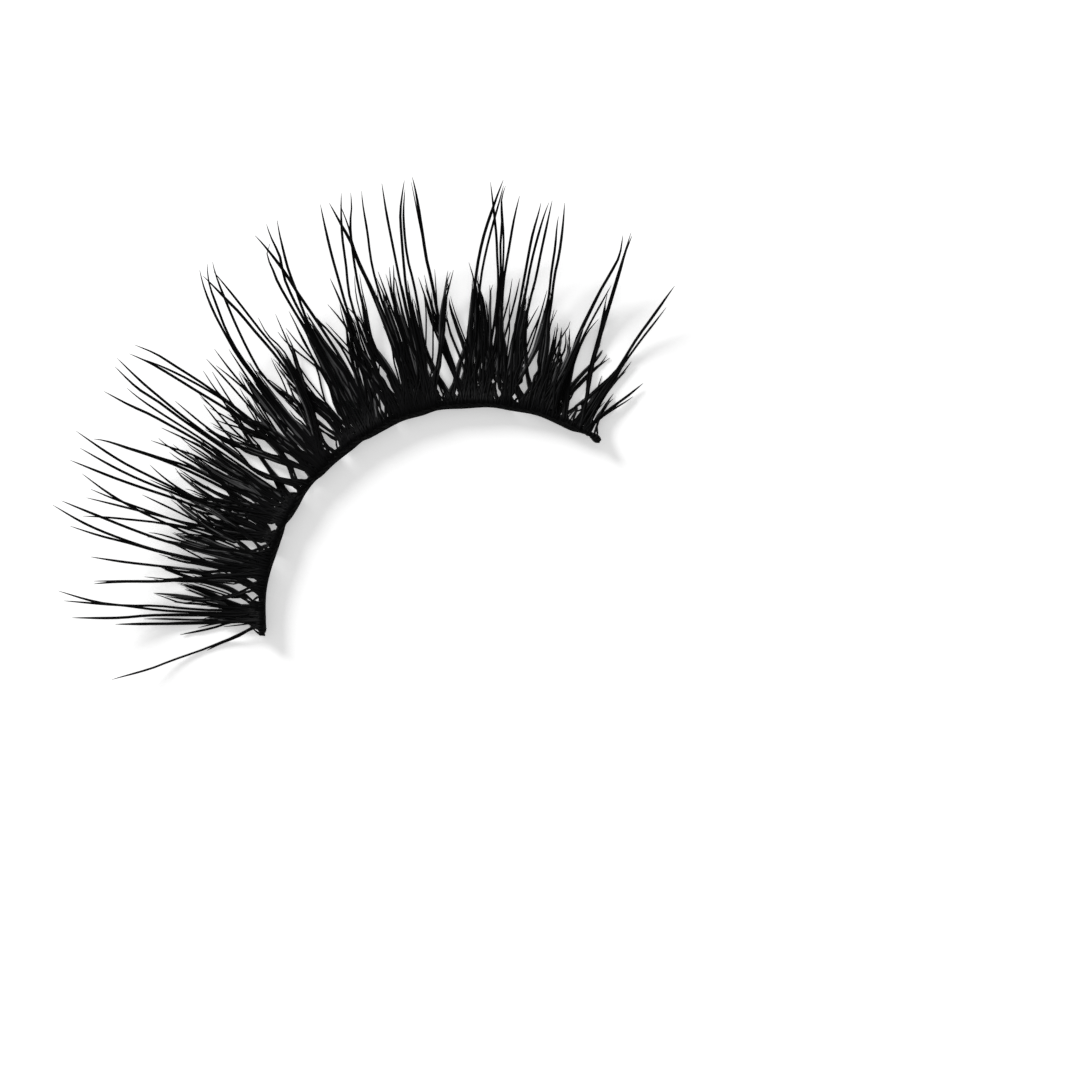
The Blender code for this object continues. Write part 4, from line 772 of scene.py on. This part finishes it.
def add_tubes(name, tubes, finishes, sides_level, closed=False):
    """Make one curve object of round tubes.

    Each tube is the number of its finish and a list of (point, radius), with metres in both.
    """
    curve = bpy.data.curves.new(name, "CURVE")
    for finish in finishes:
        curve.materials.append(finish)
    curve.dimensions = "3D"
    curve.bevel_depth = 1.0
    curve.bevel_resolution = sides_level
    curve.use_fill_caps = not closed
    for finish, tube in tubes:
        spline = curve.splines.new("POLY")
        spline.material_index = finish
        spline.points.add(len(tube) - 1)
        for knot, (point, radius) in zip(spline.points, tube):
            knot.co = (*point, 1.0)
            knot.radius = radius
        spline.use_cyclic_u = closed
        spline.use_smooth = True
    piece = bpy.data.objects.new(name, curve)
    bpy.context.scene.collection.objects.link(piece)
    return piece


def weld_mesh(piece):
    """Turn a curve into a mesh whose caps are welded on and whose faces point outwards."""
    select_only(piece)
    bpy.ops.object.convert(target="MESH")
    piece = bpy.context.object
    bpy.ops.object.mode_set(mode="EDIT")
    bpy.ops.mesh.select_all(action="SELECT")
    bpy.ops.mesh.remove_doubles(threshold=1e-6)
    bpy.ops.mesh.normals_make_consistent(inside=False)
    bpy.ops.object.mode_set(mode="OBJECT")
    bpy.ops.object.shade_smooth()
    return piece


def dress(piece, slot, *nodes):
    """Give a finished piece its body and hide the nodes it stands for."""
    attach(piece, "root")
    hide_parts(*nodes)


def add_node(tree, kind, *feeds, operation=None):
    """Add a node, and feed its first inputs in order from the given sockets."""
    node = tree.nodes.new(kind)
    if operation:
        node.operation = operation
    for feed, socket in zip(feeds, node.inputs):
        tree.links.new(feed, socket)
    return node


def grain_group():
    """Build, once, the grain that runs along the band or out along the hairs."""
    name = "strip_grain"
    if name in bpy.data.node_groups:
        return bpy.data.node_groups[name]
    group = bpy.data.node_groups.new(name, "ShaderNodeTree")
    socket = group.interface.new_socket("Centre", in_out="INPUT", socket_type="NodeSocketVector")
    socket.default_value = flat_place(0, -BAND_RADIUS, 0)
    for label, value in (("Lines along", 1.0), ("Lines out", 1.0), ("Roughness", 0.5)):
        socket = group.interface.new_socket(label, in_out="INPUT", socket_type="NodeSocketFloat")
        socket.default_value = value
    group.interface.new_socket("Grain", in_out="OUTPUT", socket_type="NodeSocketFloat")
    centre, lines_along, lines_out, roughness = add_node(group, "NodeGroupInput").outputs[:4]
    place = add_node(group, "ShaderNodeTexCoord").outputs["Object"]
    offset = add_node(group, "ShaderNodeVectorMath", place, centre, operation="SUBTRACT")
    across, outward, up = add_node(group, "ShaderNodeSeparateXYZ", offset.outputs["Vector"]).outputs
    turn = add_node(group, "ShaderNodeMath", across, outward, operation="ARCTAN2")
    flat = add_node(group, "ShaderNodeCombineXYZ", across, outward)
    radius = add_node(group, "ShaderNodeVectorMath", flat.outputs["Vector"], operation="LENGTH")
    scaled = []
    for value, lines in ((turn.outputs["Value"], lines_along), (radius.outputs["Value"], lines_out),
                         (up, lines_out)):
        product = add_node(group, "ShaderNodeMath", value, lines, operation="MULTIPLY")
        scaled.append(product.outputs["Value"])
    grid = add_node(group, "ShaderNodeCombineXYZ", *scaled)
    noise = add_node(group, "ShaderNodeTexNoise", grid.outputs["Vector"])
    noise.inputs["Scale"].default_value = 1.0
    noise.inputs["Detail"].default_value = 3.0
    group.links.new(roughness, noise.inputs["Roughness"])
    add_node(group, "NodeGroupOutput", noise.outputs["Fac"])
    return group


def grained_material(name, colour, lift, lines_along, lines_out, rough_low, rough_high, bump, specular):
    """Make a dark material whose tone, roughness and relief follow the strip's grain."""
    material = bpy.data.materials.new(name)
    material.use_nodes = True
    tree = material.node_tree
    shader = tree.nodes["Principled BSDF"]
    shader.inputs["Specular IOR Level"].default_value = specular
    group = add_node(tree, "ShaderNodeGroup")
    group.node_tree = grain_group()
    group.inputs["Lines along"].default_value = lines_along
    group.inputs["Lines out"].default_value = lines_out
    grain = group.outputs["Grain"]
    tone = add_node(tree, "ShaderNodeValToRGB", grain)
    dark, pale = tone.color_ramp.elements
    dark.position = 0.35
    dark.color = colour
    pale.position = 0.72
    pale.color = (colour[0] * lift, colour[1] * lift, colour[2] * lift, 1.0)
    tree.links.new(tone.outputs["Color"], shader.inputs["Base Color"])
    gloss = add_node(tree, "ShaderNodeMapRange", grain)
    gloss.inputs["From Min"].default_value = 0.3
    gloss.inputs["From Max"].default_value = 0.7
    gloss.inputs["To Min"].default_value = rough_high
    gloss.inputs["To Max"].default_value = rough_low
    tree.links.new(gloss.outputs["Result"], shader.inputs["Roughness"])
    relief = add_node(tree, "ShaderNodeBump")
    relief.inputs["Strength"].default_value = bump
    relief.inputs["Distance"].default_value = RELIEF_DEPTH
    tree.links.new(grain, relief.inputs["Height"])
    tree.links.new(relief.outputs["Normal"], shader.inputs["Normal"])
    material.diffuse_color = colour
    return material


def part_hair(reach_rows, reaches, rng):
    """Lead a hair round every opening that it would cross, and give its new (reach, station) rows."""
    rows = [(reach, read_curve(reach_rows, reach)) for reach in reaches]
    for opening in OPENINGS:
        middle = read_curve(reach_rows, opening.widest)
        if abs(middle - opening.station) > PARTING_RANGE or opening.bottom > reaches[-1]:
            continue
        side = 1.0 if middle > opening.station else -1.0
        extra = rng.uniform(0.0, PARTING_SPREAD)
        low = (opening.bottom + opening.widest) / 2
        high = (opening.top + opening.widest) / 2
        marks = [opening.bottom, low, opening.widest, high, opening.top]
        marks = [(mark, read_curve(rows, mark)) for mark in marks if reaches[0] < mark < reaches[-1]]
        kept = []
        for reach, station in rows:
            if not opening.bottom <= reach <= opening.top or reach in (reaches[0], reaches[-1]):
                kept.append((reach, station))
        rows = []
        for reach, station in sorted(kept + marks):
            if opening.bottom < reach < opening.top:
                near = (reach - opening.bottom) / (opening.widest - opening.bottom)
                near = min(near, (opening.top - reach) / (opening.top - opening.widest))
                room = (opening.half_width + extra) * near
                station = opening.station + side * max(room, side * (station - opening.station))
            rows.append((reach, station))
    return rows


def hair_tube(path, radius, layer, knotted, settings, rng):
    """Turn a hair's (station, reach) points into a tube, from its root on the band to its tip."""
    reach_rows = [(reach, station) for station, reach in path]
    root = path[0][0]
    longest = path[-1][1]
    lift = rng.uniform(-1.0, 1.0 if knotted else LOOSE_LIFT) * settings.spread / MM
    curl = 1.0 + rng.uniform(*CURL_SPREAD)
    tube = []
    loop = KNOT_RADIUS + rng.uniform(-KNOT_SPREAD, KNOT_SPREAD)
    slant = rng.uniform(-KNOT_SLANT, KNOT_SLANT)
    for angle in KNOT_ANGLES if knotted else ():
        swing = math.radians(angle)
        reach = KNOT_REACH + loop * math.cos(swing)
        height = KNOT_HEIGHT + loop * math.sin(swing)
        place = flat_place(root + slant * math.cos(swing), reach, height)
        tube.append((place, KNOT_THICKNESS * radius * MM))
    first = KNOTTED_START if knotted else LOOSE_START
    taper = TAPER_LENGTH + TAPER_SHARE * longest
    steps = max(7, round(4 + longest * 0.8))
    # The points lie closer together towards the tip
    shares = [index / steps for index in range(steps + 1)]
    reaches = [first + (longest - first) * (1.25 * share - 0.25 * share ** 3) for share in shares]
    for reach, station in part_hair(reach_rows, reaches, rng):
        height = lash_height(max(reach, ROLL_REACH), layer)
        if reach > BELLY_REACH:
            belly = lash_height(BELLY_REACH, layer)
            height = belly + (height - belly) * curl
        if reach < ROLL_REACH and knotted:
            height = (height + KNOT_HEIGHT + KNOT_RADIUS) / 2
        height += lift * min(1.0, reach / FULL_LIFT_REACH)
        if not knotted:
            height -= LOOSE_DROP * max(0.0, 1.0 - reach / LOOSE_DROP_REACH)
        left = max(0.0, (longest - reach) / taper)
        swell = (radius * MM - settings.tip_radius) * min(1.0, left) ** TAPER_POWER
        size = settings.tip_radius + swell
        height = max(height, size / MM + FLOOR_GAP)
        tube.append((flat_place(station, reach, height), size))
    return tube


def ribbon_hairs(ribbon, settings, rng):
    """Yield the path and the radius of each hair in a ribbon."""
    left = [(reach, start) for reach, start, end in ribbon.flow]
    right = [(reach, end) for reach, start, end in ribbon.flow]
    count = round(ribbon.hairs * settings.density)
    for index in range(count):
        share = (index + 0.5 + rng.uniform(-PLACE_SPREAD, PLACE_SPREAD)) / count
        goal = share + rng.uniform(-settings.crossing, settings.crossing)
        goal = min(2.0 - goal, abs(goal))
        span = ribbon.longest - ribbon.shortest
        longest = ribbon.shortest + span * rng.random() ** LENGTH_POWER
        stray = rng.uniform(-TIP_STRAY, TIP_STRAY)
        lean = rng.choice((-1.0, 1.0)) * rng.uniform(*LEAN_SPREAD)
        path = []
        reach = ROOT_REACH
        while reach < longest + FLOW_STEP:
            reach = min(reach, longest)
            wander = min(1.0, max(0.0, (reach - WANDER_START) / WANDER_REACH))
            at = share + (goal - share) * wander
            start = read_curve(left, reach)
            end = read_curve(right, reach)
            station = start + (end - start) * min(1.0, max(0.0, at))
            if reach < LEAN_REACH:
                station += lean * (LEAN_REACH - reach) / (LEAN_REACH - ROOT_REACH)
                slack = SLACK * max(0.0, (SLACK_REACH - reach) / (SLACK_REACH - ROOT_REACH))
                station = min(end + slack, max(start - slack, station))
            if reach == longest:
                station += stray
                if longest - path[-1][1] < SHORTEST_STEP:
                    path.pop()
            path.append((station, reach))
            reach += FLOW_STEP
        yield path, settings.fine_radius / MM * rng.uniform(*FINE_SPREAD)


class LASH_OT_add_band(bpy.types.Operator):
    """Make the cotton band from its core and threads, with a binding at each end."""

    bl_idname = "lash.add_band"
    bl_label = "Add cotton band"

    def execute(self, context):
        settings = context.scene.lash_band
        inner = [(edge.station, edge.inner) for edge in BAND_EDGES]
        outer = [(edge.station, edge.outer) for edge in BAND_EDGES]
        radius = settings.thread_radius / MM
        low = BAND_UNDERSIDE + radius
        high = BAND_UNDERSIDE + BAND_THICKNESS - radius
        cotton = grained_material(
            "black_cotton", tuple(settings.colour), lift=3.2, lines_along=60.0, lines_out=9000.0,
            rough_low=0.55, rough_high=0.80, bump=0.5, specular=0.04)
        core = self.core(inner, outer, low, high, cotton)
        first = BAND_EDGES[0].station
        last = BAND_EDGES[-1].station
        steps = round((last - first) / THREAD_STEP)
        stations = [first + (last - first) * index / steps for index in range(steps + 1)]
        tubes = []
        for face, level in enumerate((low, high)):
            for thread in range(settings.thread_count):
                across = (thread + 0.5) / settings.thread_count
                tube = []
                for station in stations:
                    start = read_curve(inner, station) + radius
                    end = read_curve(outer, station) - radius
                    twist = 2 * math.pi * station / THREAD_TURN + thread * THREAD_PHASE + face
                    reach = start + (end - start) * across + THREAD_SWAY * math.cos(twist)
                    height = level + THREAD_RISE * math.sin(twist)
                    size = settings.thread_radius * (1.0 + THREAD_SWELL * math.sin(2 * twist))
                    tube.append((flat_place(station, reach, height), size))
                tubes.append((0, tube))
        for edge_rows, side in ((inner, 1), (outer, -1)):
            tube = []
            for station in stations:
                reach = read_curve(edge_rows, station) + side * radius
                twist = 2 * math.pi * station / EDGE_TURN
                height = (low + high) / 2 + EDGE_RISE * math.sin(twist)
                size = settings.thread_radius * EDGE_THICKNESS
                tube.append((flat_place(station, reach, height), size))
            tubes.append((0, tube))
        threads = weld_mesh(add_tubes("band_lines", tubes, [cotton], 1))
        loops = self.bindings(inner, outer, radius)
        bindings = weld_mesh(add_tubes("band_bindings", loops, [cotton], 1, True))
        deselect_all()
        for part in (core, threads, bindings):
            part.select_set(True)
        context.view_layer.objects.active = core
        bpy.ops.object.join()
        band = context.object
        band.name = "band_threads"
        dress(band, "cotton_band", "band")
        return {"FINISHED"}

    def core(self, inner, outer, low, high, cotton):
        """Make the closed core that the threads lie on."""
        outline = []
        for station, reach in inner[1:-1]:
            outline.append(flat_place(station, reach + CORE_INSET, 0))
        for station, reach in reversed(outer[1:-1]):
            outline.append(flat_place(station, reach - CORE_INSET, 0))
        curve = bpy.data.curves.new("band_core", "CURVE")
        curve.materials.append(cotton)
        curve.dimensions = "2D"
        curve.fill_mode = "BOTH"
        curve.extrude = (high - low) / 2 * MM
        spline = curve.splines.new("POLY")
        spline.points.add(len(outline) - 1)
        for knot, point in zip(spline.points, outline):
            knot.co = (point.x, point.y, 0.0, 1.0)
        spline.use_cyclic_u = True
        core = bpy.data.objects.new("band_core", curve)
        core.location.z = flat_place(0, 0, (low + high) / 2).z
        bpy.context.scene.collection.objects.link(core)
        core = weld_mesh(core)
        bpy.ops.object.transform_apply(location=True, rotation=False, scale=False)
        return core

    def bindings(self, inner, outer, radius):
        """Return closed loops of thread wound round both ends of the band."""
        loops = []
        for first, last, turns in BINDINGS:
            for turn in range(turns):
                station = first + (last - first) * turn / (turns - 1)
                start = read_curve(inner, station)
                end = read_curve(outer, station)
                loop = []
                for index in range(LOOP_POINTS):
                    swing = 2 * math.pi * index / LOOP_POINTS
                    reach = (start + end) / 2 + ((end - start) / 2) * math.cos(swing)
                    height = BAND_UNDERSIDE + BAND_THICKNESS / 2
                    height += (BAND_THICKNESS / 2) * math.sin(swing)
                    lean = LOOP_LEAN * math.sin(swing)
                    place = flat_place(station + lean, reach, height)
                    loop.append((place, radius * LOOP_THICKNESS * MM))
                loops.append((0, loop))
        return loops


class LASH_OT_add_hairs(bpy.types.Operator):
    """Make the hairs of every tuft, each tapered to a fine tip; the long lashes and the black short hairs
    are knotted on the band.
    """

    bl_idname = "lash.add_hairs"
    bl_label = "Add tufts of hairs"

    def execute(self, context):
        settings = context.scene.lash_hairs
        fibre = grained_material(
            "black_fibre", tuple(settings.colour), lift=4.0, lines_along=300.0, lines_out=500.0,
            rough_low=0.35, rough_high=0.55, bump=0.25, specular=0.03)
        # Second fibre is a painted sheen: paler, rougher and with more specular, it stands for hairs that
        # catch the light
        sheen_fibre = grained_material(
            "painted_sheen_fibre", tuple(settings.sheen_colour), lift=4.0, lines_along=300.0, lines_out=500.0,
            rough_low=0.45, rough_high=0.70, bump=0.25, specular=0.10)
        rng = random.Random(settings.seed)
        for tuft in range(1, TUFT_COUNT + 1):
            layer = (tuft + 1) % 2
            tubes = []
            for ribbon in RIBBONS:
                if ribbon.tuft != tuft:
                    continue
                for path, radius in ribbon_hairs(ribbon, settings, rng):
                    # The hairs given the painted sheen are loose, without a knot on the band
                    sheen_hair = rng.random() < settings.sheen_share
                    tube = hair_tube(path, radius, layer, not sheen_hair, settings, rng)
                    tubes.append((1 if sheen_hair else 0, tube))
            for lash in LASHES:
                if lash.tuft == tuft:
                    path = [(lash.root, ROOT_REACH), *lash.path]
                    radius = lash.radius * settings.thickness
                    tubes.append((0, hair_tube(path, radius, layer, True, settings, rng)))
            hairs = weld_mesh(add_tubes(f"hairs_{tuft}", tubes, [fibre, sheen_fibre], 1))
            dress(hairs, "lash_fibre", f"tuft_{tuft}")
        return {"FINISHED"}


class LASH_OT_add_stage(bpy.types.Operator):
    """Make the pale floor, the soft studio light and the camera above the strip."""

    bl_idname = "lash.add_stage"
    bl_label = "Add studio"

    def execute(self, context):
        settings = context.scene.lash_stage
        deselect_all()
        bpy.ops.mesh.primitive_plane_add(size=settings.floor_size, location=(0.0, 0.0, 0.0))
        floor = context.object
        floor.name = "floor"
        paper = bpy.data.materials.new("pale_floor")
        paper.use_nodes = True
        shader = paper.node_tree.nodes["Principled BSDF"]
        shader.inputs["Base Color"].default_value = settings.floor_colour
        shader.inputs["Roughness"].default_value = 0.9
        shader.inputs["Specular IOR Level"].default_value = 0.1
        shader.inputs["Emission Color"].default_value = (1.0, 1.0, 1.0, 1.0)
        shader.inputs["Emission Strength"].default_value = settings.floor_glow
        floor.data.materials.append(paper)
        world = bpy.data.worlds.new("studio_air")
        world.use_nodes = True
        air = world.node_tree.nodes["Background"]
        air.inputs["Color"].default_value = (1.0, 1.0, 1.0, 1.0)
        air.inputs["Strength"].default_value = settings.fill_strength
        context.scene.world = world
        source = LIGHT_FROM.normalized()
        target = flat_place(BAND_LENGTH / 2, LIGHT_TARGET_REACH, 0.0)
        bpy.ops.object.light_add(type="AREA", location=target + source * LIGHT_DISTANCE)
        key = context.object
        key.name = "soft_key"
        key.data.shape = "DISK"
        key.data.size = LIGHT_SIZE
        key.data.energy = settings.key_strength
        key.rotation_euler = (-source).to_track_quat("-Z", "Y").to_euler()
        aim = flat_place(BAND_LENGTH / 2, -BAND_RADIUS, VIEW_LEVEL) + VIEW_SHIFT * MM
        height = VIEW_WIDTH * MM / 2 * CAMERA_LENS / (CAMERA_SENSOR / 2)
        bpy.ops.object.camera_add(location=aim + Vector((0.0, 0.0, height)))
        camera = context.object
        camera.name = "overhead_camera"
        camera.data.lens = CAMERA_LENS
        camera.data.sensor_width = CAMERA_SENSOR
        camera.data.clip_start = 0.01
        camera.data.clip_end = 20.0
        camera.rotation_euler = (0.0, 0.0, math.radians(CAMERA_TURN))
        context.scene.camera = camera
        context.scene.view_settings.view_transform = "Standard"
        return {"FINISHED"}


class LASH_PT_strip(bpy.types.Panel):
    """Sidebar panel that lists the strip's settings and steps."""

    bl_idname = "LASH_PT_strip"
    bl_label = "False eyelash strip"
    bl_space_type = "VIEW_3D"
    bl_region_type = "UI"
    bl_category = "Lash strip"

    def draw(self, context):
        steps = (
            (context.scene.lash_band, LashBandSettings, LASH_OT_add_band),
            (context.scene.lash_hairs, LashHairSettings, LASH_OT_add_hairs),
            (context.scene.lash_stage, LashStageSettings, LASH_OT_add_stage),
        )
        for settings, group, step in steps:
            box = self.layout.box()
            for name in group.__annotations__:
                box.prop(settings, name)
            box.operator(step.bl_idname)


CLASSES = (
    LashHairSettings,
    LashBandSettings,
    LashStageSettings,
    LASH_OT_add_band,
    LASH_OT_add_hairs,
    LASH_OT_add_stage,
    LASH_PT_strip,
)


def register():
    """Register the classes and hang their settings on the scene."""
    for cls in CLASSES:
        bpy.utils.register_class(cls)
    bpy.types.Scene.lash_hairs = PointerProperty(type=LashHairSettings)
    bpy.types.Scene.lash_band = PointerProperty(type=LashBandSettings)
    bpy.types.Scene.lash_stage = PointerProperty(type=LashStageSettings)


def unregister():
    """Remove the settings and the classes."""
    del bpy.types.Scene.lash_stage
    del bpy.types.Scene.lash_band
    del bpy.types.Scene.lash_hairs
    for cls in reversed(CLASSES):
        bpy.utils.unregister_class(cls)


def main():
    """Make the whole scene."""
    register()
    bpy.ops.lash.add_band()
    bpy.ops.lash.add_hairs()
    bpy.ops.lash.add_stage()


if __name__ == "__main__":
    main()
